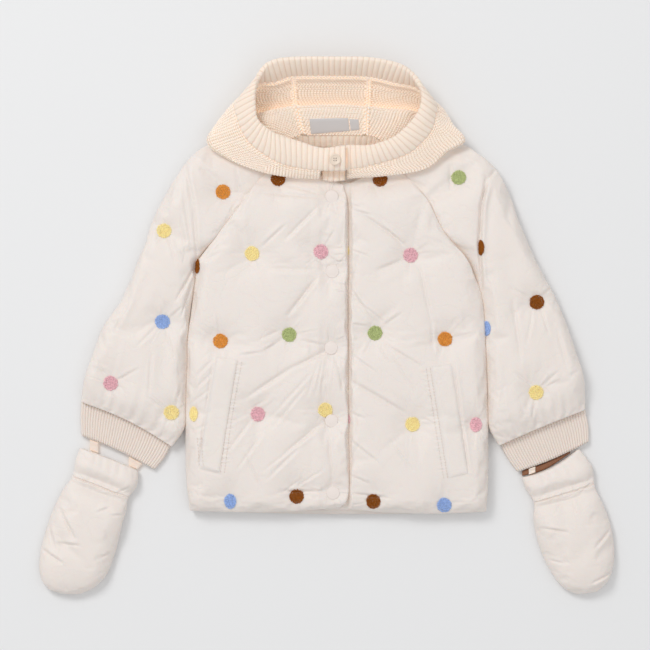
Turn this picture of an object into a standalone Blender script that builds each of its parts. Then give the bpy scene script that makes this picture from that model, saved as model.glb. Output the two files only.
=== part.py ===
"""Child's padded jacket with a knitted hood, rib cuffs and hanging mittens, laid flat.

Plan sizes are in millimetres from the left and the top of the laid-out garment;
heights are in millimetres above the surface it lies on. +Z is up, +Y points to
the hood, and the origin is on the flat underside of the back.
"""

import math

import bpy
import numpy as np
from mathutils import Vector
from mathutils.bvhtree import BVHTree

MM = 0.001
PLAN_CENTRE = (334.5, 327.0)

# ---- cloth -------------------------------------------------------------------
BACK_PAD = 9.0  # height of the lower padded layer
LAYER_GAP = 0.6  # between the lower and the upper layer
FRONT_BASE = BACK_PAD + LAYER_GAP
MID_HEIGHT = BACK_PAD + LAYER_GAP / 2
PUFF = 16.0  # upper layer where the filling is free
SEAM_PAD = 5.5  # upper layer at a seam
PRESSED_PAD = 7.0  # upper layer under the hood
DOT_WIDTH = 15.0  # how far an embroidered dot holds the filling down
DOT_DEPTH = 0.45
EDGE_ROUND = 15.0  # rounding of a puffed outer edge
UNDER_ROUND = 9.0  # rounding of the lower layer's outer edge
PLACKET_PAD = 4.8  # the lower placket edge under the upper one
WALL = 8.0  # padded wall at a fold
SLEEVE_GATHERS, MITTEN_GATHERS = 10, 8  # across the visible half, above a cuff or a band seam
GATHER_RISE = 1.5
GATHER_LENGTH = 22.0

KNIT = 3.2
BRIM_KNIT = 4.2
BRIM_RIB_PITCH = 5.5
BRIM_RIB_RISE = 0.7
CUFF_RIB_PITCH = 2.7
CUFF_RIB_RISE = 0.45
CUFF_WALL = 3.2
NECK_RIB_PITCH = 5.5

SNAP_RADIUS = 6.5
BUTTON_RADIUS = 5.8

# ---- colours -----------------------------------------------------------------
SHELL_COLOUR = (0.86, 0.80, 0.75)
KNIT_COLOUR = (0.89, 0.74, 0.60)
SNAP_COLOUR = (0.83, 0.76, 0.71)
LABEL_COLOUR = (0.44, 0.44, 0.46)
LINING_COLOUR = (0.25, 0.10, 0.045)

# ---- outlines of the flat pieces, in plan ------------------------------------
# side, from the hem corner up to the underarm
SIDE_RIGHT = ((191, 511), (187, 470), (187, 400), (189.5, 340), (198, 262))
SIDE_LEFT = ((485, 512), (487, 480), (487, 420), (484.5, 350), (481, 300), (474.5, 279))
# front raglan seam, from the underarm up to the neck
RAGLAN_RIGHT = ((198, 262), (218, 236), (240, 207), (265, 175), (289, 160))
RAGLAN_LEFT = ((474.5, 279), (465, 259), (443, 232), (425, 200), (404, 176), (386, 161))
# back raglan seam
BACK_RAGLAN_RIGHT = ((198, 262), (222, 227), (246, 193), (272, 160), (296, 133))
BACK_RAGLAN_LEFT = ((474.5, 279), (465, 255), (445, 225), (424, 192), (399, 160), (374, 133))
# placket edges, from the hem up to the neck
PLACKET_UPPER = ((340, 508), (349, 493), (348.5, 420), (348, 350), (348, 280), (348, 210), (343, 184))
PLACKET_LOWER = ((324, 510), (323, 493), (323, 420), (323, 350), (323, 280), (323, 210), (323, 182))
LAP_EDGE = 351.0  # the lower front is thin on the placket side of this line
HEM_SAG = 3.0
UNDERARM_SHARE = 0.72  # how far up a panel's rows the underarm lies

# ---- sleeves: a row for each section, neck to wrist --------------------------
# front edge x, y; outer fold x, y; back edge x, y; pad of the upper layer
SLEEVE_RIGHT = (
    (288.5, 158.5, 284, 134, 295, 131, 6.5),
    (264, 174, 246, 137, 270.5, 158.5, 7),
    (239, 205.5, 209, 144.5, 245, 191.5, 10),
    (217, 234.5, 187, 161.5, 221, 225.5, 15),
    (197, 259.5, 161, 203, 197, 259.5, 16),
    (193.5, 283, 141, 248, 193.5, 283, 16),
    (188, 320, 121.5, 296, 188, 320, 16),
    (186, 365, 103, 326, 186, 365, 16),
    (184.7, 405, 92.5, 352, 184.7, 405, 16),
    (183, 428, 83.5, 377, 183, 428, 15),
    (170.5, 446.5, 80, 402, 170.5, 446.5, 4.5),
)
SLEEVE_LEFT = (
    (386.5, 159.5, 388, 134, 375, 131, 6.5),
    (405.5, 174.5, 424, 137, 400.5, 158.5, 7),
    (426.5, 198, 463, 144, 425.5, 190.5, 10),
    (444.5, 230.5, 495, 167.5, 446, 223, 15),
    (466.5, 257.5, 513, 201, 466.5, 253.5, 16),
    (477, 279, 534, 251, 477, 279, 16),
    (484, 312, 552, 290, 484, 312, 16),
    (486.5, 350, 565.5, 319, 486.5, 350, 16),
    (489, 391, 577, 351, 489, 391, 16),
    (490, 425, 584.5, 377, 490, 425, 15),
    (500.5, 445.5, 586.5, 410, 500.5, 445.5, 4.5),
)
UNDERARM_ROW = 4  # sections from this one on close at the underarm seam

# ---- flattened rib tubes -------------------------------------------------------
# inner edge x, y, outer edge x, y, and bow towards the wrist, a row for each section
CUFF_RIGHT = (
    (170.35, 446.9, 79.9, 402.4, -4.0),
    (163.5, 458.7, 79.5, 418.8, -3.0),
    (154.2, 470.0, 80.5, 435.8, -2.0),
)
CUFF_LEFT = (
    (500.65, 445.9, 586.65, 410.4, -1.0),
    (508.6, 459.8, 589.5, 426.3, 0.5),
    (517.8, 472.2, 590.0, 441.8, 2.0),
)

# ---- mittens: left x, y, right x, y, pad and bow of each section, mouth to tip ---
MITTEN_RIGHT = (
    (79, 447.8, 138.2, 471.2, 5.5, -1),
    (74, 462, 136.5, 486, 10.5, 0),
    (71.3, 476, 128.5, 498.2, 3.8, 0),
    (62.5, 490, 126, 512, 11, 0),
    (53.5, 509, 121, 530, 13, 0),
    (46, 530, 115.5, 549, 13, 0),
    (40, 553, 109.5, 567, 13, 0),
    (39, 573, 103, 579, 12, 0),
    (46, 588, 92, 588.5, 9, 0),
    (61, 594.5, 80, 594.5, 3.5, 0),
)
MITTEN_LEFT = (
    (521.9, 477.8, 580, 448.4, 5.5, 5),
    (526, 490, 592.5, 466.5, 10.5, 2),
    (533.6, 502.8, 595.4, 484.1, 3.8, 1),
    (534, 519, 602, 500, 11, 0),
    (537.5, 537, 609, 518.5, 13, 0),
    (543.5, 555, 614, 541, 13, 0),
    (552.5, 573, 614, 565.5, 13, 0),
    (563.5, 587.5, 608, 582, 11, 0),
    (577, 595, 597.5, 592.5, 3.5, 0),
)
MITTEN_SEAM_ROW = 2

# ---- hood: a row for each section round the face opening, from the front end on
# the wearer's right, over the top, to the front end on the wearer's left.
# Each guide line is x, y, height.
HOOD_MOUTH = (
    (345.5, 147, 36.8), (322, 149, 35), (298, 142, 35), (277, 135, 36), (264.5, 127, 37), (258, 119, 37.5),
    (256.5, 108, 37.5), (256.5, 94, 37.5), (261, 75, 38.5), (269.5, 64.5, 39),
    (290, 60, 39), (333, 59.5, 39), (372, 60.5, 39), (400, 67, 39), (413.5, 78, 38.5),
    (420, 94, 37.5), (419, 108, 37.5), (413, 119, 37.5), (402, 131, 37), (391, 139, 36),
    (370, 146, 34), (347, 146, 29.5), (323.5, 149, 28),
)
HOOD_SEAM = (
    (345.5, 171.5, 33.6), (321, 171, 31.6), (298, 168.5, 30.5), (277, 162.5, 31), (253, 146.5, 31.5), (242.5, 132, 31.5),
    (238, 119, 30.5), (237, 105, 27), (256, 84.5, 19), (275, 82, 19),
    (293, 76.5, 20), (333, 76, 20), (369, 77, 20), (394, 82.5, 19), (417.5, 88, 19),
    (434.5, 106, 27), (434, 119, 30.5), (431, 131, 31.5), (422, 142.5, 31.5), (406, 155, 31),
    (376, 164.5, 29.5), (347, 170, 26), (323.5, 170, 24.6),
)
HOOD_EDGE = (
    (345.5, 178.5, 26), (320, 178, 24), (292, 176.5, 24.5), (262, 171, 25), (232.5, 160, 25), (210, 143.5, 24),
    (216, 127, 17), (232.5, 107.5, 13), (255, 91, 10), (279, 91, 10),
    (294, 87, 10), (333, 87, 10), (369, 87, 10), (391, 91, 10), (416, 95, 10),
    (440.5, 109.5, 13), (452, 126, 17), (462.5, 140.5, 24), (446.5, 151, 25), (424.5, 168, 25),
    (388, 174.5, 24.5), (347, 177.5, 23), (324, 178, 22),
)
HOOD_TUCK = (
    (345, 173, 21), (320.5, 173, 19.6), (293, 171, 19.6), (266, 164, 19.6), (241, 153, 20), (222, 141, 20),
    (230, 127, 5), (243, 119, 2.2), (263, 113, 2), (283, 112, 2),
    (296, 112, 2), (333, 111.5, 2), (368, 112, 2), (387, 112, 2), (408, 113, 2),
    (429, 119, 2.2), (440, 128, 5), (450, 140, 20), (436, 147, 20), (419, 160, 19.6),
    (386, 169, 19.6), (347, 172.5, 19.6), (324, 173, 19.6),
)
HOOD_CREST = (
    (345, 170, 20), (321, 170, 19.6), (300, 167, 19.6), (280, 160, 19.6), (266, 150, 19.6), (256, 143, 19.6),
    (257, 130, 20), (258, 120, 20.5), (272, 114, 22), (284, 111.5, 23.5),
    (297, 109.5, 24), (335, 108, 24), (367, 109.5, 24), (381, 111.5, 23), (397, 112.5, 22),
    (410, 115, 20.5), (416, 127, 20), (417, 143, 19.6), (408, 150, 19.6), (395, 160, 19.6),
    (372, 166, 19.6), (347, 169.5, 19.6), (324, 170, 19.6),
)
HOOD_NECK = (
    (345, 167, 19.6), (322, 167, 19.6), (307, 164, 19.6), (296, 158, 19.6), (290, 152, 19.6), (288, 147, 19.6),
    (289, 143, 19.4), (292, 140, 19.2), (296, 137.5, 19), (300, 136.5, 18.8),
    (304, 136, 18.6), (335, 135.5, 18.6), (366, 136, 18.6), (370, 136.5, 18.8), (374, 137.5, 19),
    (378, 140, 19.2), (381, 143, 19.4), (382, 147, 19.6), (380, 152, 19.6), (374, 158, 19.6),
    (362, 164, 19.6), (347, 167, 19.6), (324, 167, 19.6),
)
# sections where the knitted pieces meet: front end, two crown seams, front end; the
# first and last sections carry the lapped brim ends
HOOD_JOINS = (1, 10, 12, 21)
BRIM_BULGE = 3.0

# ---- neck rib: x, y, height of its upper and lower edges, from one end to the other
NECK_RIB = (
    (289.5, 139.0, 13.4, 291, 149.5, 10.9),
    (301.5, 135.5, 14.3, 303, 148.0, 10.9),
    (318, 134.6, 14.4, 319, 148.0, 10.9),
    (335, 134.2, 14.4, 335, 148.0, 10.9),
    (352, 134.6, 14.4, 351, 148.0, 10.9),
    (368.5, 135.5, 14.3, 367, 148.0, 10.9),
    (380.5, 139.0, 13.4, 379, 149.5, 10.9),
)
NECK_RIB_END = (
    (322.4, 169, 20.6, 322.4, 180.8, 20.6),
    (333.5, 169, 20.9, 333.5, 181.8, 20.9),
    (345, 169, 20.6, 345, 180.8, 20.6),
)
NECK_KNIT = 2.6

# ---- small parts --------------------------------------------------------------
SNAPS = ((331.8, 196.7), (332.3, 271.5), (331.0, 347.9), (331.4, 420.6), (333.0, 492.5))
BUTTON_AT = (335.0, 161.0)
# embroidered dots that hold the filling down: x, y
DOTS = (
    (223, 192), (458.6, 177.7), (278.2, 179), (380.2, 179.5), (164.5, 231), (252.3, 253.6),
    (321, 251.8), (410.3, 255.3), (162.8, 321.6), (220.8, 341), (289.3, 334.6), (375, 333),
    (444.6, 339), (536.2, 302.2), (111.2, 383), (171.7, 412.3), (258, 413.8), (325.4, 409.7),
    (412.3, 424), (475.5, 424.4), (535.6, 392.2), (230.5, 500.7), (296.7, 495.8),
    (373.2, 500.7), (444, 504.5),
)
# largest creases: x, y of both ends, depth, half width
CREASES = (
    (325, 352, 246, 398, 3.0, 7), (317, 270, 268, 269, 2.5, 9), (318, 207, 286, 239, 3.0, 7),
    (325, 198, 262, 193, 3.0, 7), (317, 278, 288, 315, 2.5, 7), (323, 422, 285, 452, 2.5, 7),
    (280, 489, 322, 489, 2.0, 6), (361, 214, 404, 244, 3.0, 8), (378, 270, 402, 260, 2.0, 6),
    (418, 262, 431, 321, 2.5, 7), (351, 289, 372, 321, 2.0, 7), (351, 381, 404, 412, 3.0, 8),
    (350, 475, 369, 483, 2.0, 6), (327.5, 428, 333, 483, 2.0, 5), (185, 163, 197.5, 250, 4.5, 8),
    (235.5, 167, 239.5, 192, 2.0, 5), (450, 167, 450, 191, 2.0, 5), (489, 178, 479, 262, 4.5, 8),
    (152, 262, 128, 330, 3.0, 8), (178, 290, 158, 388, 3.0, 8), (506, 262, 520, 350, 3.0, 8),
    (548, 300, 560, 380, 3.0, 8), (500, 340, 508, 420, 3.0, 8), (120, 345, 104, 372, 2.0, 7),
    (80, 505, 100, 540, 2.0, 7), (60, 540, 88, 566, 2.0, 7), (566, 510, 560, 545, 2.0, 7),
    (590, 540, 570, 568, 2.0, 7),
)
# welts: corners x, y, from the upper inner one, clockwise seen from above
WELT_RIGHT = ((237.5, 359.5), (217.0, 356.5), (198.5, 465), (219.5, 472))
WELT_LEFT = ((430.5, 366.5), (450.5, 364.5), (467.5, 473), (447.5, 477.5))
WELT_RISE = 2.6
LABEL = ((309.4, 119.5), (348.0, 118.8), (349.5, 131.5), (311.0, 134.5))
SIZE_TAB = ((349.4, 119.8), (358.4, 120.2), (359.4, 130.2), (350.6, 131.2))
TAPE = 1.8


# ---- helpers ------------------------------------------------------------------
def spline(rows, at):
    """Points of a smooth curve through the rows, at row numbers that may be fractions."""
    rows = np.asarray(rows, float)
    at = np.clip(np.asarray(at, float), 0, len(rows) - 1)
    ends = np.vstack([2 * rows[:1] - rows[1:2], rows, 2 * rows[-1:] - rows[-2:-1]])
    first = np.minimum(at.astype(int), len(rows) - 2)
    f = (at - first)[..., None]
    a, b, c, d = (ends[first + k] for k in range(4))
    return 0.5 * (2 * b + (c - a) * f + (2 * a - 5 * b + 4 * c - d) * f**2 + (3 * b - 3 * c + d - a) * f**3)


def along(rows, shares):
    """Points at the given shares of the length of a smooth curve through the rows."""
    fine = spline(rows, np.linspace(0, len(rows) - 1, 40 * len(rows)))
    lengths = np.concatenate([[0], np.cumsum(np.linalg.norm(np.diff(fine, axis=0), axis=1))])
    want = np.asarray(shares) * lengths[-1]
    return np.stack([np.interp(want, lengths, fine[:, k]) for k in range(fine.shape[1])], axis=-1)


def spread(count, crowd=0.8):
    """Shares from 0 to 1 that lie closer together near both ends."""
    even = np.linspace(0, 1, count + 1)
    return (1 - crowd) * even + crowd * (0.5 - 0.5 * np.cos(math.pi * even))


def rounding(distance, radius):
    """A quarter circle's rise, from 0 at the edge to 1 at the radius."""
    inside = 1 - np.clip(np.asarray(distance, float) / radius, 0, 1)
    return np.sqrt(np.clip(1 - inside**2, 0, 1))


def unit(vector):
    return vector / np.linalg.norm(vector)


def smoothstep(value):
    value = np.clip(value, 0, 1)
    return value * value * (3 - 2 * value)


def to_world(plan, height):
    """World metres of plan points and heights."""
    plan = np.asarray(plan, float)
    height = np.broadcast_to(height, plan.shape[:-1])
    return np.stack(
        [(plan[..., 0] - PLAN_CENTRE[0]) * MM, (PLAN_CENTRE[1] - plan[..., 1]) * MM, height * MM], axis=-1
    )


def material(name, colour, roughness, metallic=0.0):
    made = bpy.data.materials.new(name)
    made.use_nodes = True
    shader = made.node_tree.nodes["Principled BSDF"]
    shader.inputs["Base Color"].default_value = (*colour, 1)
    shader.inputs["Roughness"].default_value = roughness
    shader.inputs["Metallic"].default_value = metallic
    made.diffuse_color = (*colour, 1)
    return made


def add_object(name, data, look, collection):
    """A node with its own copy of the look."""
    made = bpy.data.objects.new(name, data)
    own = look.copy()
    own.name = name
    data.materials.append(own)
    collection.objects.link(made)
    return made


def add_mesh(name, points, faces, look, collection):
    mesh = bpy.data.meshes.new(name)
    mesh.from_pydata([tuple(p) for p in points], [], [tuple(f) for f in faces])
    mesh.validate()
    mesh.shade_smooth()
    return add_object(name, mesh, look, collection)


def wall_mesh(name, outer, inner, look, collection, ring=False):
    """A closed wall between two grids of points, of the same rows and columns.

    With ring, the last column joins the first one.
    """
    rows, columns = outer.shape[:2]
    points = np.concatenate([outer.reshape(-1, 3), inner.reshape(-1, 3)])
    offset = rows * columns
    last = columns if ring else columns - 1

    def at(row, column, side):
        return side * offset + row * columns + column % columns

    faces = []
    for row in range(rows - 1):
        for column in range(last):
            corners = ((row, column), (row, column + 1), (row + 1, column + 1), (row + 1, column))
            faces.append([at(r, c, 0) for r, c in corners])
            faces.append([at(r, c, 1) for r, c in reversed(corners)])
    for column in range(last):
        faces.append([at(0, column + 1, 0), at(0, column, 0), at(0, column, 1), at(0, column + 1, 1)])
        faces.append([at(rows - 1, column, 0), at(rows - 1, column + 1, 0), at(rows - 1, column + 1, 1), at(rows - 1, column, 1)])
    if not ring:
        for row in range(rows - 1):
            faces.append([at(row, 0, 0), at(row + 1, 0, 0), at(row + 1, 0, 1), at(row, 0, 1)])
            faces.append([at(row + 1, columns - 1, 0), at(row, columns - 1, 0), at(row, columns - 1, 1), at(row + 1, columns - 1, 1)])
    made = add_mesh(name, points, faces, look, collection)
    face_out(made.data)
    return made


def face_out(mesh):
    """Turns a closed mesh's faces outwards."""
    mesh.calc_loop_triangles()
    points = np.array([v.co for v in mesh.vertices])
    corners = points[np.array([t.vertices for t in mesh.loop_triangles])]
    if np.einsum("ij,ij->i", corners[:, 0], np.cross(corners[:, 1], corners[:, 2])).sum() < 0:
        mesh.flip_normals()


class Surface:
    """What lies under a point, read from finished nodes."""

    def __init__(self, *objects):
        graph = bpy.context.evaluated_depsgraph_get()
        bpy.context.view_layer.update()
        self.trees = [BVHTree.FromObject(o, graph) for o in objects]

    def height(self, x, y):
        """Height in millimetres of the highest face at a plan point, or None."""
        place = to_world((x, y), 200.0)
        found = [tree.ray_cast(Vector(place), Vector((0, 0, -1)))[0] for tree in self.trees]
        heights = [hit.z / MM for hit in found if hit is not None]
        return max(heights) if heights else None


# ---- how thick the upper layer is ----------------------------------------------
HOOD_HEM = ((180, 118), (208, 143), (231, 161), (260, 173), (291, 178), (335, 182), (387, 176), (426, 169), (448, 151), (465, 139), (495, 118))


def pressed(plan):
    """1 under the hood, falling to 0 a little way down the front."""
    hem = np.array(HOOD_HEM, float)
    below = plan[..., 1] - np.interp(plan[..., 0], hem[:, 0], hem[:, 1])
    return 1 - smoothstep((below - 2) / 24)


def upper_pad(plan, free=PUFF):
    """Height of the upper padded layer over its plain inside, with dots and creases held down."""
    pad = np.broadcast_to(free, plan.shape[:-1]).astype(float)
    for x, y in (*DOTS, *SNAPS):
        away = np.hypot(plan[..., 0] - x, plan[..., 1] - y)
        pad = pad * (1 - DOT_DEPTH * np.exp(-((away / DOT_WIDTH) ** 2)))
    for x0, y0, x1, y1, depth, width in CREASES:
        run = np.array([x1 - x0, y1 - y0], float)
        offset = plan - np.array([x0, y0], float)
        share = np.clip(offset @ run / (run @ run), 0, 1)
        away = np.linalg.norm(offset - share[..., None] * run, axis=-1)
        pad = pad - depth * np.exp(-((away / width) ** 2)) * (0.4 + 0.6 * np.sin(math.pi * np.clip(share, 0.15, 0.85)))
    under_hood = pressed(plan)
    return pad * (1 - under_hood) + np.minimum(pad, PRESSED_PAD) * under_hood


def gathers(share, from_seam, count):
    """Rise of the soft pleats that a seam draws in, fading away from it."""
    fade = np.exp(-from_seam / GATHER_LENGTH) * smoothstep(from_seam / 5)
    return GATHER_RISE * fade * np.cos(2 * math.pi * count * share) * np.sin(math.pi * share)


# ---- padded panels --------------------------------------------------------------
def panel_edge(side, raglan, count_low, count_high):
    low = along(side, spread(count_low, 0.5))
    high = along(raglan, np.linspace(0, 1, count_high + 1))[1:]
    return np.vstack([low, high])


def placket_rows(placket, count_low, count_high):
    low = along(placket, spread(count_low, 0.5) * UNDERARM_SHARE)
    high = along(placket, np.linspace(UNDERARM_SHARE, 1, count_high + 1))[1:]
    return np.vstack([low, high])


def panel_plan(left, right, columns, hem_sag=HEM_SAG):
    """Plan points between two edges of the same number of rows, the hem sagging a little."""
    share = spread(columns)[None, :, None]
    plan = left[:, None, :] * (1 - share) + right[:, None, :] * share
    fall = np.linspace(1, 0, len(left)) ** 3
    plan[..., 1] += hem_sag * fall[:, None] * np.sin(math.pi * share[..., 0])
    return plan


def edge_distances(plan):
    """Distances to the first and last column and to the first and last row."""
    step = np.linalg.norm(np.diff(plan, axis=1), axis=-1)
    across = np.concatenate([np.zeros((len(plan), 1)), np.cumsum(step, axis=1)], axis=1)
    rise = np.linalg.norm(np.diff(plan, axis=0), axis=-1)
    up = np.concatenate([np.zeros((1, plan.shape[1])), np.cumsum(rise, axis=0)], axis=0)
    return across, across[:, -1:] - across, up, up[-1:] - up


def build_back(look, collection):
    low, high = 14, 6
    left = panel_edge(SIDE_RIGHT, BACK_RAGLAN_RIGHT, low, high)
    right = panel_edge(SIDE_LEFT, BACK_RAGLAN_LEFT, low, high)
    plan = panel_plan(left, right, 16)
    start, end, hem, _ = edge_distances(plan)
    side = np.where(np.arange(len(plan)) <= low, 1.0, 0.0)[:, None]
    lift = 1 - rounding(hem, UNDER_ROUND) * (1 - side * (1 - rounding(np.minimum(start, end), UNDER_ROUND)))
    under = to_world(plan, 0.5 * BACK_PAD * lift)
    inside = to_world(plan, BACK_PAD)
    return wall_mesh("back", inside, under, look, collection)


def build_front(name, side, raglan, placket, upper, look, collection):
    """One front. The upper one passes over the lower one's placket edge."""
    low, high = 15, 6
    outer_edge = panel_edge(side, raglan, low, high)
    centre_edge = placket_rows(placket, low, high)
    if upper:
        plan = panel_plan(outer_edge, centre_edge, 14)
    else:
        lap_line = np.stack([np.full(len(centre_edge), LAP_EDGE), centre_edge[:, 1]], axis=1)
        over = panel_plan(outer_edge, lap_line, 11)
        under = panel_plan(lap_line, centre_edge, 3, 0)
        plan = np.concatenate([over, under[:, 1:]], axis=1)
    from_side, from_placket, hem, top = edge_distances(plan)
    seam = smoothstep((np.arange(len(plan)) - low + 1) / 2)[:, None]
    outer = rounding(from_side, EDGE_ROUND)
    outer_pad = (1 - seam) * 1.5 + seam * SEAM_PAD
    pad = upper_pad(plan)
    pad = outer_pad + (pad - outer_pad) * outer
    pad = 2.5 + (pad - 2.5) * rounding(hem, EDGE_ROUND) * (0.45 + 0.55 * rounding(top, 10))
    if upper:
        lap = smoothstep((plan[..., 0] - 309) / 11)
        base = FRONT_BASE + lap * (PLACKET_PAD + LAYER_GAP)
        pad = pad - lap * 4.2
        pad = 2.2 + (pad - 2.2) * rounding(from_placket, 8)
    else:
        base = np.full(plan.shape[:-1], FRONT_BASE)
        lap = 1 - smoothstep((plan[..., 0] - LAP_EDGE) / 9)
        pad = pad * (1 - lap) + np.minimum(pad, PLACKET_PAD) * lap
        pad = 2.0 + (pad - 2.0) * rounding(from_placket, 6)
    return wall_mesh(name, to_world(plan, base + pad), to_world(plan, base), look, collection)


def bowed(plan, share, bow, toward):
    """Plan points of sections with their middles moved along the tube."""
    return plan + (bow[:, None] * np.sin(math.pi * share))[..., None] * toward


def build_sleeve(name, sections, cuff, look, collection):
    """One rolled wall: upper layer from the front edge to the fold, then the lower layer back."""
    rows = np.concatenate([np.linspace(0, 8.8, 13), [9.35, 9.7, 9.88, 10]])
    table = spline(sections, rows)
    front, fold, back, free = table[:, 0:2], table[:, 2:4], table[:, 4:6], table[:, 6]
    closed = smoothstep(rows - (UNDERARM_ROW - 1))[:, None]
    from_wrist = np.linalg.norm(front[-1] - front, axis=1)[:, None]
    share = spread(2 * SLEEVE_GATHERS, 0.3)
    # upper layer, from the front edge (share 1) to the fold (share 0)
    up = share[::-1][None, :, None]
    bow = cuff[0][4] * smoothstep((rows - 8.6) / 1.4)
    toward = unit(front[-1] + fold[-1] - front[-3] - fold[-3])
    upper_plan = bowed(fold[:, None] * (1 - up) + front[:, None] * up, up[..., 0], bow, toward)
    width = np.linalg.norm(front - fold, axis=1)[:, None]
    from_fold, from_edge = up[..., 0] * width, (1 - up[..., 0]) * width
    pad = upper_pad(upper_plan, free[:, None]) + gathers(up[..., 0], from_wrist, SLEEVE_GATHERS)
    edge_pad = SEAM_PAD * (1 - closed) + 1.8 * closed
    pad = edge_pad + (pad - edge_pad) * rounding(from_edge, EDGE_ROUND)
    nose = rounding(from_fold, EDGE_ROUND)
    upper_out = MID_HEIGHT + (LAYER_GAP / 2 + pad) * nose
    # lower layer, from the fold to the back edge
    down = spread(8, 0.75)[1:][None, :, None]
    lower_plan = bowed(fold[:, None] * (1 - down) + back[:, None] * down, down[..., 0], bow, toward)
    back_width = np.linalg.norm(back - fold, axis=1)[:, None]
    from_fold_low, from_back = down[..., 0] * back_width, (1 - down[..., 0]) * back_width
    lift = 1 - rounding(from_fold_low, UNDER_ROUND) * (1 - closed * (1 - rounding(from_back, UNDER_ROUND)) * 0.6)
    lower_out = MID_HEIGHT * lift * np.where(from_fold_low < 1e-6, 1, 0.92)
    wrist = smoothstep((rows - 9.3) / 0.7)[:, None]
    lower_out = lower_out * (1 - wrist) + np.maximum(lower_out, 1.2) * wrist
    outer = np.concatenate([to_world(upper_plan, upper_out), to_world(lower_plan, lower_out)], axis=1)
    # plain inside: the same points drawn in by the wall at the fold
    inset = np.minimum(WALL / width, 0.45)[..., None]
    up_in = inset + (1 - inset) * up
    down_in = inset + (1 - inset) * down
    half = LAYER_GAP / 2
    upper_in_plan = bowed(fold[:, None] * (1 - up_in) + front[:, None] * up_in, up_in[..., 0], bow, toward)
    lower_in_plan = bowed(fold[:, None] * (1 - down_in) + back[:, None] * down_in, down_in[..., 0], bow, toward)
    inner = np.concatenate(
        [
            to_world(upper_in_plan, MID_HEIGHT + half * rounding(up[..., 0] * width, 3)),
            to_world(lower_in_plan, MID_HEIGHT - half * rounding(down[..., 0] * back_width, 3)),
        ],
        axis=1,
    )
    return wall_mesh(name, outer, inner, look, collection)


# ---- flattened tubes --------------------------------------------------------------
def ring_shares(count_top, count_under):
    """Shares across the width, over the top from left to right and back underneath."""
    top = spread(count_top, 0.3)
    under = spread(count_under, 0.85)[::-1][1:-1]
    return np.concatenate([top, under]), np.concatenate([np.ones(len(top)), np.zeros(len(under))])


def pouch_points(sections, rows, under_pad):
    """Outer and inner points of a padded tube that lies flat, gathered at its seam row."""
    table = spline(sections, rows)
    left, right, free, bow = table[:, 0:2], table[:, 2:4], table[:, 4], table[:, 5]
    toward = unit(left[-1] + right[-1] - left[0] - right[0])
    share, top = ring_shares(2 * MITTEN_GATHERS, 8)
    plan = bowed(left[:, None] * (1 - share[None, :, None]) + right[:, None] * share[None, :, None], share[None], bow, toward)
    width = np.linalg.norm(right - left, axis=1)[:, None]
    from_edge = np.minimum(share, 1 - share)[None] * width
    from_seam = np.linalg.norm(left - np.array(sections[MITTEN_SEAM_ROW][0:2], float), axis=1)[:, None]
    pad = upper_pad(plan, free[:, None]) + gathers(share[None], from_seam, MITTEN_GATHERS)
    mid = under_pad + LAYER_GAP / 2
    nose = rounding(from_edge, np.minimum(EDGE_ROUND, 0.45 * width))
    squash = np.minimum(1, free / 6)[:, None]
    above = mid + (LAYER_GAP / 2 + pad) * nose
    below = mid * (1 - rounding(from_edge, UNDER_ROUND) * squash)
    height = np.where(top[None] > 0, above, below)
    outer = to_world(plan, height)
    wall = np.minimum(5.0 / width, 0.3)
    inner_share = wall + (1 - 2 * wall) * share[None]
    inner_plan = bowed(left[:, None] * (1 - inner_share[..., None]) + right[:, None] * inner_share[..., None], inner_share, bow, toward)
    half = LAYER_GAP / 2 * rounding(from_edge, 3)
    inner = to_world(inner_plan, mid + np.where(top[None] > 0, half, -half))
    return outer, inner


def close_tip(outer, inner, name, look, collection):
    """The pouch with its far end filled by the wall."""
    keep = inner[:-1]
    rows, columns = outer.shape[:2]
    points = np.concatenate([outer.reshape(-1, 3), keep.reshape(-1, 3)])
    start = rows * columns
    faces = []
    for row in range(rows - 1):
        for column in range(columns):
            after = (column + 1) % columns
            faces.append([row * columns + column, row * columns + after, (row + 1) * columns + after, (row + 1) * columns + column])
    for row in range(len(keep) - 1):
        for column in range(columns):
            after = (column + 1) % columns
            faces.append([start + row * columns + after, start + row * columns + column, start + (row + 1) * columns + column, start + (row + 1) * columns + after])
    for column in range(columns):
        after = (column + 1) % columns
        faces.append([after, column, start + column, start + after])
    faces.append([(rows - 1) * columns + c for c in range(columns)])
    faces.append([start + (len(keep) - 1) * columns + c for c in reversed(range(columns))])
    made = add_mesh(name, points, faces, look, collection)
    face_out(made.data)
    return made


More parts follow.
